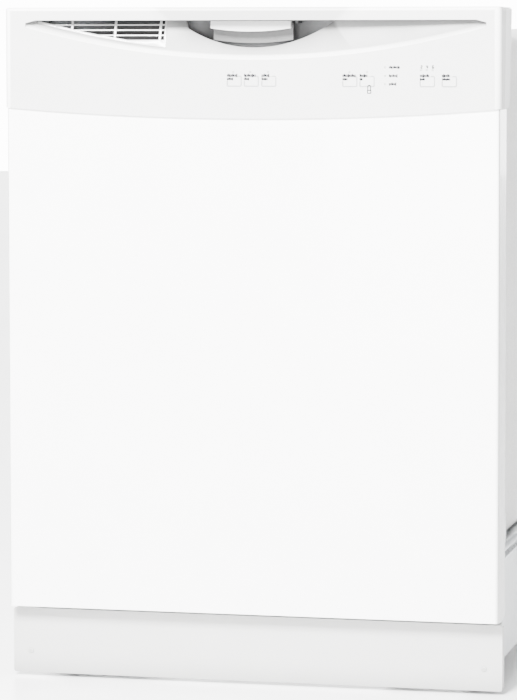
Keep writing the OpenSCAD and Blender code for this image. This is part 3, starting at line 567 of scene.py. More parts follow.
# the shutter behind the grille is painted near-black for the shade in the slots, with painted light growing
# towards the scoop's tip
shutter = plastic("shutter_painted_light_and_shade", (0.01, 0.0102, 0.0105), 0.6, 0.3, 1100, vary=0.1)
tree = shutter.node_tree
shade = grey_ramp(tree, where(tree)["X"], -0.25, -0.15, (0, 30), (0.5, 9), (0.75, 2.5), (1, 1))
repaint("vent_flap", shutter, shade)

# painted shade on the door's side edges, deeper towards the top
door_lo, door_hi, _ = box("door_panel")
door = plastic("door_enamel_painted_side_shade", ENAMEL, 0.26, 0.07, 260, coat=0.3)
tree = door.node_tree
x, _, z = where(tree)
edge = grey_ramp(tree, combine(tree, "ABSOLUTE", x), (door_hi.x - 1.6) * MM, (door_hi.x - 0.2) * MM,
                 (0, 0), (1, 1))
side_shade_by_height = grey_ramp(tree, z, door_lo.z * MM, door_hi.z * MM, (0, 0.35), (0.3, 0.55), (1, 0.72))
repaint("door_panel", door, combine(tree, "SUBTRACT", 1, combine(tree, "MULTIPLY", edge, side_shade_by_height)))

# ---------------- printed marks on the console

# an outline round each button, short bars in place of words, three hours and a small padlock
marks, ink = Shape(), Shape()
INK_Y, INK_T = FRONT - 0.02, 0.04


def printed(shape, outline, inner=None):
    """A flat mark of (x, z) points on the console's face, a hair's breadth deep. inner makes it an outline."""
    if inner is None:
        shape.prism(outline, INK_Y, INK_Y + INK_T, 0.005, turned("y"))
        return
    rings = [[(x, y, z) for x, z in ring] for ring, y in
             ((outline, INK_Y), (outline, INK_Y + INK_T), (inner, INK_Y + INK_T), (inner, INK_Y))]
    shape.loft(rings, loop=True)


def line(shape, path, half):
    """A flat printed line along a path on the console's face, half wide each side of it."""
    for a, b in zip(path, path[1:]):
        a, b = Vector((a[0], a[2])), Vector((b[0], b[2]))
        along = (b - a).normalized() * half * 0.5
        a, b, out = a - along, b + along, Vector((-along.y, along.x)) * 2
        printed(shape, [tuple(p) for p in (a - out, b - out, b + out, a + out)])


def word(x, z, length, tall, seed):
    """A row of plain upright dabs that stands for a printed word, from x to the right."""
    step = tall * 0.62
    for k in range(max(1, round(length / step))):
        rise = (0, 0.28, 0, 0, 0.3, 0)[(k + seed) % 6] * tall
        drop = (0, 0, 0.25, 0, 0)[(k + seed) % 5] * tall
        a = x + k * step
        b = a + step * (0.9, 0.98, 0.84)[(k + seed) % 3]
        low, high = z - tall / 2 - drop, z + tall / 2 + rise
        printed(ink, [(a, low), (b, low), (b, high), (a, high)])


# lengths of the two printed lines on each button
LINES = {"heavy_wash_button": (12.6, 7), "normal_wash_button": (14.4, 6.6), "light_wash_button": (10, 7),
         "high_temp_button": (16.4, 6.8), "heat_dry_button": (9.4, 4.3), "delay_start_button": (11.7, 6.8),
         "start_button": (10.4, 9.6)}
for k, (name, (first, second)) in enumerate(LINES.items()):
    lo, hi, mid = box(name)
    x0, x1, z0, z1 = lo.x - 0.9, hi.x + 0.9, lo.z - 0.9, hi.z + 0.9
    # the outline leaves room for the words at the top left
    outline = (((mid.x + x1) / 2, z1), (x1, z1), (x1, z0), (x0, z0), (x0, mid.z))
    line(marks, bend([(x, INK_Y, z) for x, z in outline], 2.2, 4), 0.3)
    word(x0, z1 + 0.5, first, 2.6, k)
    word(x0, z1 - 3.7, second, 2.0, k + 2)
STATUS_X = 169.6
for k, (drop, length) in enumerate(((71.3, 14), (81.3, 10.7), (91.0, 9))):
    word(STATUS_X, TOP - drop, length, 2.4, k)

# hours over the three small lights, in plain strokes on a grid two wide and four high
STROKES = {208.6: [[(0, 4), (2, 4), (2, 2), (0, 2), (0, 0), (2, 0)]],
           215.3: [[(0, 4), (0, 1.6), (2, 1.6)], [(2, 4), (2, 0)]],
           222.3: [[(2, 4), (0, 4), (0, 0), (2, 0), (2, 2), (0, 2)]]}
for x, strokes in STROKES.items():
    for stroke in strokes:
        line(ink, [(x + (u - 1) * 0.68, INK_Y, TOP - 72.2 + v * 0.76) for u, v in stroke], 0.46)

LOCK_X, LOCK_Z, SHACKLE = 146.0, TOP - 100.0, 1.7
printed(ink, [(LOCK_X + x, LOCK_Z + z) for x, z in rounded(2.6, 2.3, 0.8, 3)],
        [(LOCK_X + x, LOCK_Z + z) for x, z in rounded(1.5, 1.1, 0.3, 3)])
line(ink, bend([(LOCK_X + x, INK_Y, LOCK_Z + z) for x, z in
                ((-SHACKLE, 2.2), (-SHACKLE, 7.4), (SHACKLE, 7.4), (SHACKLE, 2.2))], SHACKLE - 0.01, 6), 0.55)

# ---------------- toe kick screws

lo, hi, mid = box("toe_kick_screws")
shape = Shape()
shape.lathe([(0, 0.6), (1.35, 0.55), (1.5, 0), (2.0, 0.06), (2.9, 0.35), (3.35, 0.9), (3.4, 1.2),
             (1.9, 1.2), (1.9, 9.2), (1.2, 10.1), (0, 10.2)], "y", (hi.x - 3.4, lo.y, mid.z), 28)
screws = stand_in("toe_kick_screw_heads", shape.mirror(), "toe_kick_screws")
# the screw heads share the toe kick's enamel and its painted shade
screws.data.materials[0] = MATS["toe_paint"]

# ---------------- the printed marks as pieces

for name, shape, color in (("button_outlines", marks, (0.22, 0.23, 0.24)),
                           ("legend_bars", ink, (0.012, 0.012, 0.014))):
    obj = dress(make(name, shape), "light_pipe", "door")
    obj.data.materials[0] = plastic(name, color, 0.75, 0.05, 900, vary=0.02)
    obj.data.materials[0].node_tree.nodes["Principled BSDF"].inputs["Specular IOR Level"].default_value = 0.08

# ---------------- tub, gasket, liner

tub_lo, tub_hi, _ = box("tub")
FLANGE, SKIN, TRACK = tub_lo.y, 3.0, 187.0
IN_HALF, IN_FLOOR, IN_TOP, IN_BACK = 268.0, 165.0, 780.0, tub_hi.y - SKIN
CORNER = 8


def ring(half, z0, z1, y, r):
    """A rounded rectangle in a front view, at depth y."""
    return [(x, y, z + (z0 + z1) / 2) for x, z in rounded(half, (z1 - z0) / 2, r, CORNER)]


def ribbed(half, z0, z1, y, r, lift=0.0, sides=28):
    """The same ring with its straight sides divided. lift presses the upright ones and the top inwards."""
    base, out = ring(half, z0, z1, y, r), []
    for i, p in enumerate(base):
        out.append(p)
        if i % (CORNER + 1) == CORNER:
            q = base[(i + 1) % len(base)]
            out += [tuple(a + (b - a) * k / sides for a, b in zip(p, q)) for k in range(1, sides)]
    tall = (z1 - z0) / 2

    def press(x, y, z):
        from_corner = half - abs(x) if abs(z - z1) < 0.01 else tall - abs(z - z0 - tall)
        k = lift * min(1, max(0, from_corner / 60))
        if abs(abs(x) - half) < 0.01:
            return x - math.copysign(k, x), y, z
        return x, y, z - k if abs(z - z1) < 0.01 else z

    return [press(*p) for p in out]


def disc(r, h0, h1):
    """Profile of a plain cylinder."""
    return [(0, h0), (r, h0), (r, h1), (0, h1)]


def collar(r0, r1, h0, h1):
    """Profile of a plain ring."""
    return [(r0, h0), (r1, h0), (r1, h1), (r0, h1)]


# inside of the flange, the mouth, then the walls
inner = [ribbed(*row) for row in (
    (288, 155, TOP - 7, FLANGE + 1.5, 10), (287.4, 155.6, TOP - 7.6, FLANGE + 0.4, 9.6),
    (286, 157, TOP - 9, FLANGE, 9), (266, 183, 779, FLANGE, 18), (264.1, 185.5, 776.5, FLANGE + 0.5, 17),
    (262.9, 187, 775, FLANGE + 2.2, 16), (262.9, 187, 775, FLANGE + 10, 16),
    (263.6, 186, 776, FLANGE + 11.5, 17), (266, 169, 778, FLANGE + 12.6, 20),
    (IN_HALF - 0.4, 165.4, IN_TOP - 0.4, FLANGE + 13.6, 22))]
RIBS = [FLANGE + 120 + 62 * k for k in range(6)]
WALL_R = 24
y = FLANGE + 16
while y < IN_BACK - 30:
    away = min(abs(y - rib) for rib in RIBS)
    inner.append(ribbed(IN_HALF, IN_FLOOR, IN_TOP, y, WALL_R, lift=2.2 * max(0, min(1, 1 - (away - 9) / 7))))
    y += 6
for k in range(1, 7):
    a = math.pi / 2 * k / 6
    c = WALL_R * (1 - math.cos(a))
    inner.append(ribbed(IN_HALF - c, IN_FLOOR + c * 0.3, IN_TOP - c, IN_BACK - WALL_R * (1 - math.sin(a)),
                        WALL_R - 14 * (1 - math.cos(a))))
# pressed frames in the back wall
for inset, dip in ((40, 0), (46, -2.5), (70, -2.5), (76, 0), (110, 0), (116, -2.5), (170, -2.5), (176, 0)):
    inner.append(ribbed(IN_HALF - inset, IN_FLOOR + inset * 0.9, IN_TOP - inset, IN_BACK + dip,
                        22 - inset * 0.08))
inner.append(ribbed(4, 400.8, 518, IN_BACK, 3))
OUT_HALF = IN_HALF + SKIN
outer = [ribbed(*row) for row in (
    (4, 300, 310, tub_hi.y, 3), (IN_HALF - 20, 180, 764, tub_hi.y, 14),
    (IN_HALF - 2, 164, 781, tub_hi.y - 6, 24), (OUT_HALF, 162, 783, tub_hi.y - 24, 26),
    (OUT_HALF, 162, 783, FLANGE + 20, 26),
    (OUT_HALF, 162, 783, FLANGE + 4, 26), (275, 160, 786, FLANGE + SKIN, 24),
    (286, 157, TOP - 9, FLANGE + SKIN, 9), (287.4, 155.6, TOP - 7.6, FLANGE + 2.6, 9.6))]
tub = make("tub_shell", Shape().loft(inner + outer, loop=True))
CX, CY, _ = box("sump")[2]
cut(tub, Shape().lathe(disc(94, 150, 175), "z", (CX, CY, 0), 72))
holes = Shape().lathe(disc(9.6, 150, 180), "z", (0, IN_BACK - 12, 0), 32)
cut(tub, holes.lathe(disc(5.2, 150, 180), "z", (-190, -175, 0), 24))
dress(tub, "tub_plastic", "tub_and_base", "tub")

# the lower rack's tracks, and the rollers' pins and bosses
ROLLERS, WHEELS = ("front_rail_rollers", "rear_rail_rollers"), ("front_rack_wheels", "rear_rack_wheels")
shape = Shape()
shape.prism([(FLANGE + 12.4, 164.6), (IN_BACK - 8, 164.6), (IN_BACK - 8, TRACK), (FLANGE + 12.4, TRACK)],
            234, 267.6, 1.2, turned("x"))
for name in ROLLERS:
    mid = box(name)[2]
    shape.lathe([(0, 0), (2.95, 0), (2.95, 9.4), (5.5, 9.9), (5.5, 12), (13, 14), (14, 18.5), (14, 20),
                 (0, 20)], "x", (248, mid.y, mid.z), 28)
dress(make("tub_tracks", shape.mirror()), "tub_plastic", "tub_and_base")

# The door seal: a bulb with a thin lip, swept round the tub's mouth.
lo, hi, mid = box("tub_gasket")
side = [(-4.4, 0.2), (-4.4, 2.0), (-3.2, 2.6), (-3.4, 4.6), (-2.2, 6.4)]
bulb = side + [(0, 7.0)] + [(-o, y) for o, y in side[::-1]] + [(0, 0.05)]
rings = [ring(hi.x - 4.5 + o, lo.z + 4.5 - o, hi.z - 4.5 + o, hi.y - y, 12 + o) for o, y in bulb]
stand_in("door_seal", Shape().loft(rings, loop=True), "tub_gasket")

# The inner door: a shallow tray with a pressed field, open for the dispenser, the latch and the vent.
lo, hi, _ = box("door_liner")
HALF, FACE, PAN = 281.0, hi.y, lo.y
VENT = (-200, FACE, TOP - 60)
# how far each ring lies inside the tray's sides, above its foot and below its top, its depth and its corner
rows = [(HALF - side, lo.z + foot, hi.z - side, y, r) for side, foot, y, r in (
    (1.5, 1.5, PAN, 6), (0, 0, PAN, 7), (0, 0, PAN + 8, 8), (0.5, 0.6, FACE - 6, 9), (3.5, 5, FACE - 1.5, 10),
    (7, 8.5, FACE, 12), (34, 72, FACE, 26), (37, 75, FACE - 1.2, 25), (41, 79, FACE - 4.6, 24),
    (44, 82, FACE - 5.4, 23), (92, 130, FACE - 5.4, 18), (95, 133, FACE - 5.0, 17),
    (100, 138, FACE - 2.4, 16), (104, 142, FACE - 2.0, 15))]
rows += [(120, 400, 590, FACE - 2.0, 12), (104, 418, 572, FACE - 2.0, 10), (101, 421, 569, FACE, 9),
         (6, 490, 500, FACE, 3), (6, 490, 500, FACE - 7, 3)]
rows += [(HALF - side, lo.z + foot, hi.z - side, y, r) for side, foot, y, r in (
    (30, 60, FACE - 7, 20), (9, 11, FACE - 8, 10), (2.5, 3, FACE - 12, 8), (2.5, 2.5, PAN + 0.6, 6))]
shape = Shape().loft([ribbed(*row, sides=6) for row in rows], loop=True)
for s in BOTH:
    x0, x1 = sorted((s * (HALF - 0.8), s * 300.2))
    shape.block((x0, PAN, 172), (x1, PAN + 2, TOP - 122), 0.5)
liner = make("inner_door", shape)
tool = Shape().block((-86, FACE - 40, 429), (96, FACE + 10, 561), 2)
tool.block((-16, PAN - 10, TOP - 28), (16, FACE + 10, TOP + 20), 1)
cut(liner, tool.lathe(disc(20, -20, 20), "y", VENT, 48))
dress(liner, "liner_plastic", "door", "door_liner")
# slats over the door's vent hole, in a ring
shape = Shape()
for k in range(-3, 4):
    half, z = math.sqrt(20 ** 2 - (k * 5) ** 2), VENT[2] + k * 5
    shape.block((VENT[0] - half, FACE - 5, z - 0.9), (VENT[0] + half, FACE - 1.5, z + 0.9), 0.4)
shape.lathe([(19.6, -6), (21.5, -6), (21.5, 1.6), (20.8, 2.2), (19.9, 1.6)], "y", VENT, 48)
dress(make("vent_slats", shape), "mid_plastic", "door")

# ---------------- blankets


def blanket(name, at, nu, nv, thick, seed, body, slot, *replaced, tack=0.11):
    """A soft fibre blanket. at(u, v) gives the inner face's point and its outward normal. The outer
    face swells between its pinched edges and rows of tack points, and is a little uneven."""
    inner, outer, faces = [], [], []
    for i in range(nu + 1):
        for j in range(nv + 1):
            u, v = i / nu, j / nv
            p, n, lu, lv = at(u, v)
            edge = min(u * lu, (1 - u) * lu, v * lv, (1 - v) * lv) / 22
            swell = math.sqrt(max(0.0, 1 - (1 - min(1, edge)) ** 2))
            quilt = abs(math.sin(math.pi * u * lu * tack / 11) * math.sin(math.pi * v * lv * tack / 11))
            rough = noise.noise(p * 0.018 + Vector((seed, 0, 0))) * 0.5 + 0.5
            fine = noise.noise(p * 0.07 + Vector((0, seed, 0))) * 0.5 + 0.5
            t = thick * (0.3 + 0.7 * swell) * (0.62 + 0.2 * min(1, quilt * 1.6) + 0.12 * rough + 0.06 * fine)
            inner.append(p)
            outer.append(p + n * t)
    count, row = len(inner), nv + 1
    for i in range(nu):
        for j in range(nv):
            first = i * row + j
            quad = (first, first + row, first + row + 1, first + 1)
            faces += [quad, tuple(count + k for k in quad[::-1])]
    rim = [i * row for i in range(nu)] + [nu * row + j for j in range(nv)]
    rim += [i * row + nv for i in range(nu, 0, -1)] + [j for j in range(nv, 0, -1)]
    faces += [(a, count + a, count + b, b) for a, b in zip(rim, rim[1:] + rim[:1])]
    obj = make(name, Shape().add(inner + outer, faces), 80)
    dress(obj, slot, body, *replaced)


ins_lo, ins_hi, _ = box("tub_insulation")
IN_X, ROOF, LOW, WRAP_R = IN_HALF + 3.2, IN_TOP + 3.2, ins_lo.z, 16


def wrap(u, v):
    """Up the left side, over the roof and down the right side."""
    side, arc, top = ROOF - WRAP_R - LOW, math.pi / 2 * WRAP_R, 2 * (IN_X - WRAP_R)
    total = 2 * side + 2 * arc + top
    length = ins_hi.y - ins_lo.y - 1
    # the right half is the left one mirrored
    s = min(u, 1 - u) * total
    if s <= side:
        p, n = Vector((-IN_X, 0, LOW + s)), Vector((-1, 0, 0))
    elif s <= side + arc:
        a = (s - side) / WRAP_R
        n = Vector((-math.cos(a), 0, math.sin(a)))
        p = Vector((-IN_X + WRAP_R, 0, ROOF - WRAP_R)) + n * WRAP_R
    else:
        p, n = Vector((-IN_X + WRAP_R + s - side - arc, 0, ROOF)), Vector((0, 0, 1))
    if u > 0.5:
        p.x, n.x = -p.x, -n.x
    p.y = ins_lo.y + v * length
    return p, n, total, length


def back_pad(u, v):
    width, tall = 2 * IN_X - 8, ROOF - LOW - 8
    return Vector((-IN_X + 4 + u * width, tub_hi.y + 0.2, LOW + 4 + v * tall)), Vector((0, 1, 0)), width, tall


def door_pad(u, v):
    lo, hi, _ = box("door_insulation")
    size = hi - lo
    return Vector((lo.x + u * size.x, lo.y, lo.z + v * size.z)), Vector((0, 1, 0)), size.x, size.z


blanket("tub_blanket", wrap, 240, 84, 9.4, 3.1, "tub_and_base", "felt", "tub_insulation")
blanket("back_blanket", back_pad, 84, 96, 9.0, 7.7, "tub_and_base", "felt")
blanket("door_pad", door_pad, 60, 60, 18, 1.3, "door", "mastic", "door_insulation", tack=0.2)

# ---------------- racks

WIRE, GAP = 2.0, 4.1


def basket(shape, half, y0, y1, z0, tall, pitch=36):
    """Bent wires: loops front to back and side to side, with two rims round the top."""
    nx, ny = int((half - 14) // pitch), int((y1 - y0 - 20) // pitch)
    first = y0 + (y1 - y0 - ny * pitch) / 2
    ya, yb, xs, top = y0 - GAP / 2, y1 + GAP / 2, half + GAP / 2, z0 + tall
    for i in range(-nx, nx + 1):
        x = i * pitch
        shape.tube(bend([(x, ya, top), (x, ya, z0), (x, yb, z0), (x, yb, top)], 13), WIRE)
    for j in range(ny + 1):
        y = first + j * pitch
        shape.tube(bend([(-xs, y, top), (-xs, y, z0 + GAP), (xs, y, z0 + GAP), (xs, y, top)], 13), WIRE)
    x, ya, yb = half + GAP * 1.5, y0 - GAP * 1.5, y1 + GAP * 1.5
    for z in (z0 + tall * 0.55, top):
        rim = bend([(-x, ya, z), (x, ya, z), (x, yb, z), (-x, yb, z)], 16, 6, True)
        shape.tube(rim, WIRE, 10, closed=True)


def tines(shape, x0, count, y, z, tall, lean):
    """Upright prongs 36 mm apart, with a foot bent along the floor wire."""
    for x in (x0 + 36 * i for i in range(count)):
        shape.tube(bend([(x, y - 9, z - 1.5), (x, y, z - 1.2), (x, y + lean, z + tall)], 5), 1.5)


R0, R1 = FRONT + 118, IN_BACK - 38
LZ, UZ, LH, UH = 214.0, 492.0, 230.0, 224.0
AXLE = box(WHEELS[0])[2].z

shape = Shape()
basket(shape, LH, R0, R1, LZ, 160)
for y, count, lean in ((-90, 8, 6), (-40, 8, 6), (180, 12, -6), (215, 12, -6)):
    tines(shape, -198, count, y, LZ + 6.2, 90, lean)
# a loop in the front rim to pull by
shape.tube(bend([(-70, R0 - 6, LZ + 160), (-62, R0 - 6.5, LZ + 140), (62, R0 - 6.5, LZ + 140),
                 (70, R0 - 6, LZ + 160)], 12), 1.8)
stand_in("lower_rack_wire", shape, "lower_rack")
# hangers for the wheels, each with two clips and an axle
shape = Shape()
for y in (box(name)[2].y for name in WHEELS):
    shape.prism([(y - 8, AXLE - 5), (y - 5, AXLE - 8), (y + 5, AXLE - 8), (y + 8, AXLE - 5), (y + 8, LZ + 36),
                 (y + 5, LZ + 40), (y - 5, LZ + 40), (y - 8, LZ + 36)], 239.2, 242, 0.6, turned("x"))
    for z in (LZ + 22, LZ + 34):
        shape.tube([(233, y - 11, z), (238.6, y - 11, z), (238.6, y + 11, z), (233, y + 11, z)], 1.6)
    shape.lathe([(0, 0), (6.5, 0), (6.5, 1.2), (2.95, 1.8), (2.95, 17), (3.6, 17.6), (3.4, 18.6), (0, 18.8)],
                "x", (240.6, y, AXLE), 24)
dress(make("lower_rack_axles", shape.mirror()), "mid_plastic", "lower_rack")

shape = Shape()
basket(shape, UH, R0, R1, UZ, 124)
for y in (20, 56):
    tines(shape, -18, 6, y, UZ + 6.2, 60, 5)
stand_in("upper_rack_wire", shape, "upper_rack")
# slides in the rails, then the arm's water pipe with its hub, its mouth and the clips that hold it
shape = Shape()
for y in (-120, 170):
    shape.block((227.2, y - 25, 556), (241.5, y + 25, 576), 2)
    for z in (561, 571):
        shape.tube([(224, y - 22, z), (224, y + 22, z)], 3.2)
shape.mirror()
PORT = UZ - 12
shape.tube(bend([(0, IN_BACK - 33, PORT), (0, CY + 40, PORT), (0, CY - 9, PORT)], 8), 7, 20)
shape.lathe([(0, -30), (6, -30), (6.9, -29), (6.9, -16), (9, -13), (8, -7), (0, -6)], "z", (0, CY, UZ), 28)
shape.lathe([(7.2, 0), (10, 0), (10, 2.4), (8.6, 3), (8.6, 12), (7.2, 12)], "y", (0, IN_BACK - 46, PORT), 28)
for y in (CY + 60, CY + 140):
    shape.block((-9, y - 4, UZ - 6.5), (9, y + 4, UZ - 2.5), 0.8)
dress(make("upper_rack_fittings", shape), "mid_plastic", "upper_rack")

lo, hi, mid = box("cup_shelf")
shape = Shape()
z, x0, x1 = mid.z, lo.x + 2, hi.x - 2
shape.tube([(x0, lo.y, z), (x0, hi.y, z)], WIRE, 10)
bow = [(x0 + 2, lo.y + 2, z), (x1, lo.y + 2, z), (x1, hi.y - 2, z), (x0 + 2, hi.y - 2, z)]
shape.tube(bend(bow, 14), 1.9, 10)
for k in range(1, 9):
    y = lo.y + 2 + (hi.y - lo.y - 4) * k / 9
    dip = 5 * (k % 2)
    shape.tube(bend([(x0 + 2, y, z), (x0 + 16, y, z - dip), (x1 - 14, y, z - dip), (x1 - 1, y, z)], 8), 1.5)
stand_in("cup_shelf_wire", shape, "cup_shelf")

lo, hi, _ = box("folding_tines")
shape = Shape()
y, z = lo.y + 2, lo.z + 2
shape.tube([(lo.x, y, z), (hi.x, y, z)], WIRE, 10)
for x in range(-180, 144, 36):
    shape.tube(bend([(x - 4, y - 2.6, z - 1), (x, y - 3.1, z + 3), (x, y, z + 9), (x, y, hi.z)], 5), 1.45)
    shape.lathe(collar(2.1, 3.5, -3.4, 3.4), "x", (x + 10, y, z), 16)
stand_in("folding_tine_wire", shape, "folding_tines")

for name in WHEELS:
    mid = box(name)[2]
    shape = Shape()
    for x0 in (244, -258):
        at = (x0, mid.y, mid.z)
        shape.lathe([(16.2, 0.8), (18.2, 0), (19, 1), (19, 5.6), (18.4, 6.2), (18.4, 7.8), (19, 8.4),
                     (19, 13), (18.2, 14), (16.2, 13.2)], "x", at, 44)
        shape.lathe([(3.08, 0), (6.4, 0), (7, 0.8), (7, 13.2), (6.4, 14), (3.08, 14)], "x", at, 28)
        shape.lathe(collar(6.8, 16.4, 6.4, 8), "x", at, 40)
        shape.blocks_round(8, (6.6, -0.9, 2), (16.5, 0.9, 12), 0.4, turned("x", at))
    stand_in(name + "_spoked", shape, name)
for name in ROLLERS:
    mid = box(name)[2]
    shape = Shape().lathe([(3.08, 0), (5, 0), (5.4, 1), (8.2, 1), (9, 1.8), (9, 6.2), (8.2, 7), (5.4, 7),
                           (5, 8), (3.08, 8)], "x", (249, mid.y, mid.z), 36)
    stand_in(name + "_turned", shape.mirror(), name)

# Silverware basket: slatted walls round four cells, and a carrying bow.
lo, hi, mid = box("silverware_basket")
RIM, SLAT = hi.z - 36, 2.0
shape = Shape()


def lattice(x0, y0, x1, y1, pitch):
    """A slatted wall from one corner to another, with three bands and slim uprights."""
    run = Vector((x1 - x0, y1 - y0))
    length = run.length
    m = Matrix.Translation((x0, y0, 0)) @ Matrix.Rotation(math.atan2(run.y, run.x), 4, "Z")
    for z, h in ((lo.z, 7), ((lo.z + RIM) / 2 - 3, 6), (RIM - 9, 9)):
        shape.block((0, -SLAT / 2, z), (length, SLAT / 2, z + h), 0.6, m)
    n = max(2, round(length / pitch))
    for x in (k * length / n for k in range(n + 1)):
        x0, x1 = max(0, x - 1.1), min(length, x + 1.1)
        shape.block((x0, -SLAT * 0.4, lo.z + 1), (x1, SLAT * 0.4, RIM - 1), 0.4, m)


for y in (lo.y + 1, hi.y - 1):
    lattice(lo.x + 1, y, hi.x - 1, y, 9)
for x in (lo.x + 1, hi.x - 1):
    lattice(x, lo.y + 1, x, hi.y - 1, 9)
for k in range(1, 4):
    y = lo.y + SLAT / 2 + k * (hi.y - lo.y - SLAT) / 4
    lattice(lo.x + 1, y, hi.x - 1, y, 12)
for k in range(1, 10):
    x = lo.x + k * (hi.x - lo.x) / 10
    shape.block((x - 1, lo.y + 1, lo.z), (x + 1, hi.y - 1, lo.z + 2.2), 0.5)
for k in range(1, 28):
    y = lo.y + k * (hi.y - lo.y) / 28
    shape.block((lo.x + 1, y - 1, lo.z + 0.2), (hi.x - 1, y + 1, lo.z + 2), 0.5)
for x in (lo.x + 0.9, hi.x - 0.9):
    shape.tube([(x, lo.y + 1, RIM - 1), (x, hi.y - 1, RIM - 1)], 1.2)
bow = [(mid.x, lo.y + 1, RIM - 8), (mid.x, lo.y + 3, RIM + 30), (mid.x, lo.y + 40, RIM + 32.5)]
bow += [(mid.x, hi.y - 40, RIM + 32.5), (mid.x, hi.y - 3, RIM + 30), (mid.x, hi.y - 1, RIM - 8)]
shape.tube(bend(bow, 24, 8), 3.4, 14, flat=0.8)
stand_in("silverware_basket_slats", shape, "silverware_basket")

# ---------------- water system


def arm(shape, reach, z, tall):
    """A flattened arm, widest by its hub, swept to rounded tips, with jets along it."""
    def sway(x):
        return 3.2 * math.sin(math.pi * x / reach)

    def blunt(value, power):
        return math.copysign(abs(value) ** power, value)

    rings = []
    for x in (reach * math.sin(math.pi / 2 * (i / 30 - 1)) for i in range(61)):
        far = abs(x) / reach
        tip = max(0.0, (abs(x) - reach + 13) / 13)
        half = (17 - 5.5 * far ** 1.3) * math.sqrt(max(0.0, 1 - tip ** 2) + 1e-4)
        thick = tall / 2 * (1 - 0.25 * far ** 2) * (1 if far < 0.93 else max(0.25, (1 - far) / 0.07))
        rings.append([(x, CY + sway(x) + half * blunt(c, 0.75), z + tall / 2 + thick * blunt(s, 0.8))
                      for c, s in round_points(1, 20)])
    shape.loft(rings)
    for s in BOTH:
        for i in range(1, 7):
            x = s * i * (reach - 20) / 6
            top = z + tall / 2 + tall / 2 * (1 - 0.25 * (abs(x) / reach) ** 2)
            shape.lathe([(1.6, -1.6), (3.2, -1.2), (3.2, -0.2), (2.5, 0.35), (1.7, 0.2), (1.2, -1)], "z",
                        (x, CY + s * 7 * (i % 2) + sway(x), top), 16)


lo, hi, _ = box("lower_spray_arm")
shape = Shape()
z = hi.z - 9
arm(shape, hi.x, z, 9)
shape.lathe([(9.3, lo.z), (15, lo.z), (17, lo.z + 3), (17, z), (20, z + 2.5), (19, z + 7.5), (12, z + 8.6),
             (5, z + 9), (0, z + 9)], "z", (0, CY, 0), 40)
shape.blocks_round(8, (13, -0.8, lo.z + 1), (18, 0.8, z + 3), 0.4, turned("z", (0, CY, 0)))
stand_in("lower_spray_arm_jets", shape, "lower_spray_arm")

lo, hi, _ = box("upper_spray_arm")
shape = Shape()
arm(shape, hi.x, lo.z, 8)
shape.lathe([(0, 0), (12, 0.2), (17, 2), (17, 8), (10, 11), (7.4, 11.4), (7.4, 6), (0, 6)], "z",
            (0, CY, lo.z), 40)
stand_in("upper_spray_arm_jets", shape, "upper_spray_arm")

# Sump: a ribbed bowl under the floor, its flange over the floor's hole, and the post the arm turns on.
Z0, FL, at = box("sump")[0].z, IN_FLOOR, (CX, CY, 0)
shape = Shape()
shape.lathe([(0, Z0 + 3), (60, Z0 + 3), (80, Z0 + 6), (87, Z0 + 14), (89, Z0 + 30), (89, FL - 4),
             (93, FL + 3), (100, FL + 2.6), (100, FL + 0.2), (93.5, FL), (92, FL - 3), (92, Z0 + 26),
             (90, Z0 + 10), (80, Z0 + 2), (60, Z0), (0, Z0)], "z", at, 72)
shape.lathe([(0, Z0 + 2), (12, Z0 + 2), (12, FL - 12), (9.5, FL), (8.95, FL + 4), (8.95, TRACK + 0.6),
             (6, TRACK + 1), (4.6, TRACK + 0.6), (4.6, FL), (0, FL - 1)], "z", at, 32)
shape.blocks_round(16, (88, -1, Z0 + 16), (93.5, 1, FL - 2), 0.5, turned("z", at), 0.5)
OUTLET_Z = 130
for x in (88, -97):
    shape.lathe([(14.4, 0), (17, 0), (17, 3), (16, 3.6), (16, 9), (14.4, 9)], "x", (x, CY, OUTLET_Z), 28)
stand_in("sump_bowl", shape, "sump")

# Filter: fine mesh cylinder with a ring, a cross grip and a coarse frame.
lo, hi, mid = box("filter")
at = (mid.x, mid.y, 0)
shape = Shape()
shape.lathe([(27, -2.2), (34, -1.6), (33.6, -0.3), (29, 0), (26, -0.6), (25.6, -4)], "z",
            (mid.x, mid.y, hi.z), 56)
for z in (lo.z + 1.5, lo.z + 16, lo.z + 31, lo.z + 46):
    shape.lathe([(28, z - 1.4), (30, z - 1.2), (30, z + 1.2), (28, z + 1.4)], "z", at, 48)
for k, (x, y) in enumerate(round_points(29, 30)):
    x, y = mid.x + x, mid.y + y
    shape.tube([(x, y, lo.z + 1), (x, y, hi.z - 1.5)], 0.9 if k % 5 else 1.5, 6)
shape.lathe([(0, lo.z), (30, lo.z), (30, lo.z + 2.4), (26, lo.z + 3), (0, lo.z + 3)], "z", at, 48)
shape.blocks_round(2, (-27, -2, hi.z - 20), (27, 2, hi.z - 1.5), 1.2, turned("z", at), step=TURN / 4)
stand_in("filter_cage", shape, "filter")

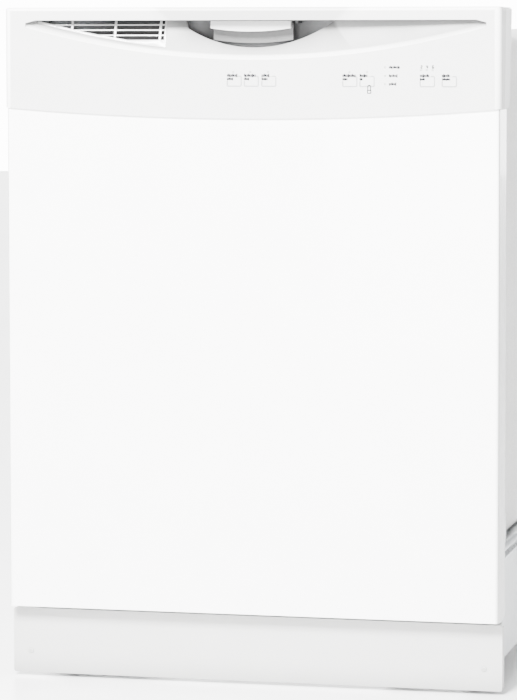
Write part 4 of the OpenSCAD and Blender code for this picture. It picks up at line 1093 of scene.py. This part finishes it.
# Wash pump: volute, inlet neck, clamp ring and a finned motor.
VOLUTE, MOTOR = (108, CY, 90), (142, CY, 90)
shape = Shape()
shape.lathe([(45, 3), (44, 3.4), (44, 30.6), (45, 31), (51, 33), (52, 31), (52, 3), (51, 1)], "x", VOLUTE, 64)
shape.lathe(disc(44.5, 31, 34), "x", VOLUTE, 56)
shape.lathe(collar(30, 44.5, 0, 3), "x", VOLUTE, 56)
shape.lathe([(11, 0), (13, 0), (14, 1.5), (14, 26), (11, 30)], "x", (80, CY, OUTLET_Z), 32)
shape.lathe([(14, 0), (15.6, 0.4), (15.6, 5.6), (14, 6)], "x", (90, CY, OUTLET_Z), 32)
shape.lathe([(0, 0), (36, 0), (38, 3), (38, 10), (40, 11), (40, 48), (38, 49), (38, 56), (30, 64), (12, 66),
             (0, 66)], "x", MOTOR, 56)
shape.blocks_round(24, (37.2, -0.9, 12), (39.9, 0.9, 47), 0.4, turned("x", MOTOR))
shape.blocks_round(4, (44, -5, 2), (51.8, 5, 33), 2, turned("x", VOLUTE), 0.5)
stand_in("wash_pump_body", shape, "wash_pump")
# the impeller's back plate and boss, and six swept vanes between radii 7 and 31
shape = Shape()
shape.lathe([(0, 20), (10, 20), (30, 22), (32, 23), (32, 26.5), (30, 28), (0, 28)], "x", VOLUTE, 48)
shape.lathe([(0, 6), (5, 8), (7, 12), (8, 22), (0, 22)], "x", VOLUTE, 24)
SWEEP = 0.7
for k in range(6):
    spiral = [(7 + 24 * t, k * TURN / 6 + SWEEP * t) for t in (i / 7 for i in range(8))]
    path = [Vector((r * math.cos(a), r * math.sin(a))) for r, a in spiral]
    ways = [(q - p).normalized() for p, q in zip(path, path[1:])] + [path[-1].normalized()]
    rings = []
    for p, d in zip(path, ways):
        n = Vector((-d.y, d.x)) * 0.9
        rings.append([(*(p + n * s), h) for s, h in ((1, 8.2), (1, 22.4), (-1, 22.4), (-1, 8.2))])
    shape.loft(rings, turned("x", VOLUTE))
stand_in("pump_impeller", shape, "pump_rotor")

# Drain pump: round chamber, neck, motor with a yoke, and the hose spigot with barbs.
spout, DRAIN_Z = box("drain_pump")[1].y, 118
shape = Shape()
shape.lathe([(27, 2), (26, 2.6), (26, 43), (27, 44), (29, 46), (30, 44.5), (30, 1.5), (29, 0)], "x",
            (-150, CY, DRAIN_Z), 48)
for x in (-150, -107):
    shape.lathe(disc(27.4, 0.2, 3), "x", (x, CY, DRAIN_Z), 40)
shape.lathe([(11, 0), (14, 1), (14, 23), (13, 24.5), (11, 24.5)], "x", (-104.5, CY, OUTLET_Z), 32)
shape.lathe([(0, 0), (14, 1), (20, 3), (20, 14), (24, 15), (24, 42), (22, 43), (22, 50), (0, 50)], "x",
            (-200, CY, DRAIN_Z), 40)
shape.block((-196, CY - 26, DRAIN_Z - 10), (-160, CY + 26, DRAIN_Z + 10), 2)
for y in (CY - 18, CY + 18):
    shape.lathe(disc(4.5, 0, 30), "x", (-193, y, DRAIN_Z), 20)
shape.lathe([(8.5, CY + 24), (10, CY + 27), (10, spout - 31), (10.95, spout - 29), (10.95, spout - 21),
             (10, spout - 19), (10, spout - 16), (10.95, spout - 14), (10.95, spout - 6), (9.6, spout),
             (8.5, spout)], "y", (-128, 0, DRAIN_Z), 36)
shape.lathe([(10, 0), (12, 0.6), (12, 5.4), (10, 6)], "y", (-128, CY + 34, DRAIN_Z), 28)
stand_in("drain_pump_body", shape, "drain_pump")

# Heating element: one bent sheath with its two ends turned down through the floor, on three clips.
lo, hi, _ = box("heating_element")
ez, er = hi.z - 3.5, 115
gap = math.asin(15 / er)
path = [(15, CY + er, lo.z), (15, CY + er, ez - 8)]
for i in range(73):
    a = math.pi / 2 - gap - (TURN - 2 * gap) * i / 72
    path.append((er * math.cos(a), CY + er * math.sin(a), ez))
path += [(-15, CY + er, ez - 8), (-15, CY + er, lo.z)]
path = bend(path[:3], 6)[:-1] + path[3:-3] + bend(path[-3:], 6)[1:]
stand_in("heater_loop", Shape().tube(path, 3.4, 14), "heating_element")
shape = Shape()
for x in (-15, 15):
    shape.lathe([(3.5, 0.2), (9, 0.2), (9, 2), (6, 4), (6, 6), (3.5, 6)], "z", (x, CY + er, FL), 6)
for a in (math.pi, math.pi * 1.5, TURN):
    m = turned("z", (er * math.cos(a), CY + er * math.sin(a), 0)) @ Matrix.Rotation(a, 4, "Z")
    shape.block((-6, -4, FL + 0.2), (6, 4, FL + 2), 0.4, m)
    clip = [(-4.6, 0, FL + 2), (-4.6, 0, ez + 3), (0, 0, ez + 4.3), (4.6, 0, ez + 3), (4.6, 0, FL + 2)]
    shape.tube([m @ p for p in bend(clip, 3)], 0.8, 6)
dress(make("heater_clips", shape), "steel", "tub_and_base")

# Float, inlet valve, junction box, feed tube
lo, hi, mid = box("float")
at, b = (mid.x, mid.y, 0), hi.z
shape = Shape()
shape.lathe([(0, 140), (4, 140), (5, 141), (5, 165.5), (16.5, 165.5), (19.6, 165.6), (20, 167), (20, b - 6),
             (18.5, b - 2.4), (15, b - 0.5), (8, b), (0, b)], "z", at, 44)
shape.blocks_round(12, (19.2, -0.7, 168), (20, 0.7, b - 8), 0.3, turned("z", at))
stand_in("float_cap", shape, "float")

lo, hi, mid = box("inlet_valve")
cx, base, coil_y = mid.x, hi.z - 62, -168
shape = Shape()
shape.block((lo.x, lo.y, base - 17), (hi.x, lo.y + 2, base + 3), 0.4)
shape.block((lo.x, lo.y + 1, base), (hi.x, -184, base + 2), 0.4)
shape.block((lo.x + 2, -185, base + 1), (hi.x - 2, -151, base + 30), 3)
# the solenoid with its ribs, the outlet, the threaded inlet and two terminals
shape.lathe([(0, 0), (16, 0), (17, 1), (17, 15), (16, 16), (0, 16)], "z", (cx, coil_y, base + 29.5), 36)
for k in range(9):
    shape.lathe([(16.6, 0), (17.4, 0.5), (16.6, 1)], "z", (cx, coil_y, base + 31 + k * 1.5), 32)
shape.lathe([(6.5, 0), (9, 0), (9, 4), (8, 4.6), (8, 8), (9, 8.6), (9, 12.4), (8.4, 16.4), (6.5, 16.5)], "z",
            (cx, coil_y, base + 45.5), 32)
shape.lathe([(9, -5), (15, -5), (15, -1), (12.6, 0), (12.6, 15), (11.8, 16), (9, 16)], "y",
            (cx, -150, base + 18), 40)
shape.tube(helix(12.55, -148, -135.6, 8, 20, turned("y", (cx, 0, base + 18)))[:-1], 0.62, 5)
for x in (cx - 6, cx + 6):
    shape.block((x - 0.4, -186, base + 36), (x + 0.4, -178, base + 42), 0.15)
stand_in("inlet_valve_body", shape, "inlet_valve")

lo, hi, mid = box("junction_box")
base, wall_y = hi.z - 50, -190
shape = Shape()
shape.block((lo.x, lo.y, base - 17), (hi.x, lo.y + 2, base + 3), 0.4)
shape.block((lo.x, lo.y + 1, base), (hi.x, hi.y, base + 2), 0.4)
for x in (lo.x, hi.x - 2):
    shape.block((x, wall_y, base), (x + 2, hi.y, hi.z - 1), 0.5)
shape.block((lo.x, wall_y, base), (hi.x, wall_y + 2, hi.z - 1), 0.5)
shape.block((lo.x, wall_y, hi.z - 1.4), (hi.x, hi.y, hi.z), 0.4)
for x in (lo.x + 8, hi.x - 8):
    shape.lathe([(0, 0), (3, 0), (3, 0.1), (0, 0.5)], "z", (x, -159, hi.z - 0.4), 16)
stand_in("junction_box_shell", shape, "junction_box")
wall = make("junction_box_back", Shape().block((lo.x, hi.y - 2, base), (hi.x, hi.y, hi.z - 1), 0.5))
cut(wall, Shape().lathe(disc(11, -6, 6), "y", (mid.x, hi.y, base + 21), 36))
dress(wall, "galvanised", "tub_and_base")

y, roof = box("feed_tube")[1].y - 9, IN_TOP - 12
shape = Shape()
shape.tube(bend([(0, CY + 86, 140), (0, y, 140), (0, y, 190)], 10, 8), 7.9, 20)
shape.tube(bend([(0, y, 150), (0, y, roof), (0, CY, roof)], 16, 8), 7.6, 20)
shape.lathe([(7.6, 0), (10.5, 0.6), (10.5, 8), (7.6, 9)], "z", (0, y, FL), 28)
shape.lathe([(4.6, 0), (7, 0), (7, 1), (6, 1.6), (6, 12), (4.6, 12)], "y", (0, y - 20, PORT), 28)
shape.lathe(disc(6.4, 0, 14), "y", (0, y - 14, PORT), 28)
for z in (260, 400, 560, 700):
    shape.block((-13, y - 3, z - 5), (13, IN_BACK - 0.3, z + 5), 1.2)
# the spray head under the roof, with three rings of holes
shape.lathe([(0, -14), (14, -14), (18, -12.5), (20, -10), (20, -6), (12, -1), (8, 6), (0, 6)], "z",
            (0, CY, roof), 40)
for r, count, drop in ((5, 6, 14.5), (10.5, 12, 14.5), (15.5, 16, 14)):
    for x, y in round_points(r, count):
        shape.lathe(collar(0.7, 1.3, 0, 0.8), "z", (x, CY + y, roof - drop), 10)
stand_in("feed_pipe", shape, "feed_tube")

# ---------------- legs and door springs

ROD, THREAD = 5.0, 1.5
for name in ("front_left_leg", "front_right_leg", "rear_left_leg", "rear_right_leg"):
    lo, hi, mid = box(name)
    foot, at = (hi.x - lo.x) / 2, (mid.x, mid.y, 0)
    shape = Shape()
    shape.lathe([(0, 0.4), (foot - 3, 0), (foot - 1, 0.3), (foot, 1.6), (foot, 4.4), (foot - 1.2, 5.6),
                 (foot - 6, 6.2), (7, 7.2), (6.4, 8), (0, 8)], "z", at, 48)
    shape.blocks_round(20, (foot - 1.3, -0.9, 1.4), (foot - 0.1, 0.9, 4.6), 0.4, turned("z", at))
    # flats for a spanner, then a threaded rod
    shape.lathe([(0, 8), (6.3, 8), (6.9, 8.6), (6.9, 13.2), (6.3, 13.8), (0, 13.8)], "z", at, 6)
    core = ROD - 0.55
    shape.lathe([(0, 13), (core, 13), (core, hi.z - 0.7), (core - 0.65, hi.z), (0, hi.z)], "z", at, 24)
    turns = int((hi.z - 16) / THREAD)
    shape.tube(helix(ROD - 0.5, 14.6, 14.6 + THREAD * turns, turns, 16, turned("z", at)), 0.5, 5)
    stand_in(name + "_threaded", shape, name)

lo, hi, mid = box("door_springs")
COIL, SPRING_WIRE, COIL_BACK, COIL_FRONT = 2.65, 0.85, -70.0, lo.y + 9.2
for s in BOTH:
    x, z = s * (hi.x - 3.6), mid.z
    # front hook, close coils, back hook in one wire
    path = [(x, lo.y + 1.2, z - 0.9), (x, lo.y + 1.0, z + 0.5), (x, lo.y + 2.6, z + 1.4),
            (x, COIL_FRONT - 1.5, z + 1.8)]
    turns = int((COIL_BACK - COIL_FRONT) / 2.1)
    path += helix(COIL, COIL_FRONT, COIL_BACK, turns, 12, turned("y", (x, 0, z)), math.pi / 2)
    path += [(x, COIL_BACK + 1.5, z + 1.8), (x, hi.y - 2.6, z + 1.4), (x, hi.y - 1.0, z + 0.5),
             (x, hi.y - 1.2, z - 0.9)]
    coil = make("door_spring_" + ("left" if s < 0 else "right"), Shape().tube(path, SPRING_WIRE, 6))
    dress(coil, SLOT["door_springs"], None, *(["door_springs"] if s < 0 else []))
    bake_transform(coil)

# ---------------- floor and light

REACH = 14000
corners = [(x * REACH, y * REACH, 0) for x, y in ((-1, -1), (1, -1), (1, 1), (-1, 1))]
floor = make("floor", Shape().add(corners, [(0, 1, 2, 3)]))
floor.data.materials.append(plastic("floor_paper", (0.92, 0.92, 0.92), 0.3, 0.05, 400))

# soft light all round, and a bright backdrop far behind the object
world = bpy.data.worlds.new("studio")
bpy.context.scene.world = world
world.use_nodes = True
tree = world.node_tree
around = node(tree, "SeparateXYZ", Vector=node(tree, "TexCoord").outputs["Generated"]).outputs["Y"]
feed(tree.nodes["Background"], Strength=spread(tree, around, 0.9, 14.0, From_Min=0.86, From_Max=0.95,
                                               interpolation_type="SMOOTHSTEP"))
tree.nodes["Background"].inputs["Color"].default_value = (1, 1, 1, 1)


def area_light(name, at, target, size, power):
    """A rectangular lamp turned to its target. Metres and watts."""
    data = bpy.data.lights.new(name, "AREA")
    data.energy = power
    data.shape = "RECTANGLE"
    data.size, data.size_y = size
    obj = bpy.data.objects.new(name, data)
    bpy.context.collection.objects.link(obj)
    obj.location = at
    obj.rotation_euler = (Vector(target) - Vector(at)).to_track_quat("-Z", "Y").to_euler()


area_light("key", (-0.35, -3.2, 2.6), (0, -0.3, 0.35), (1.0, 1.0), 1060)
area_light("fill", (0.2, -4.5, 0.5), (0, -0.3, 0.4), (2, 1.5), 220)
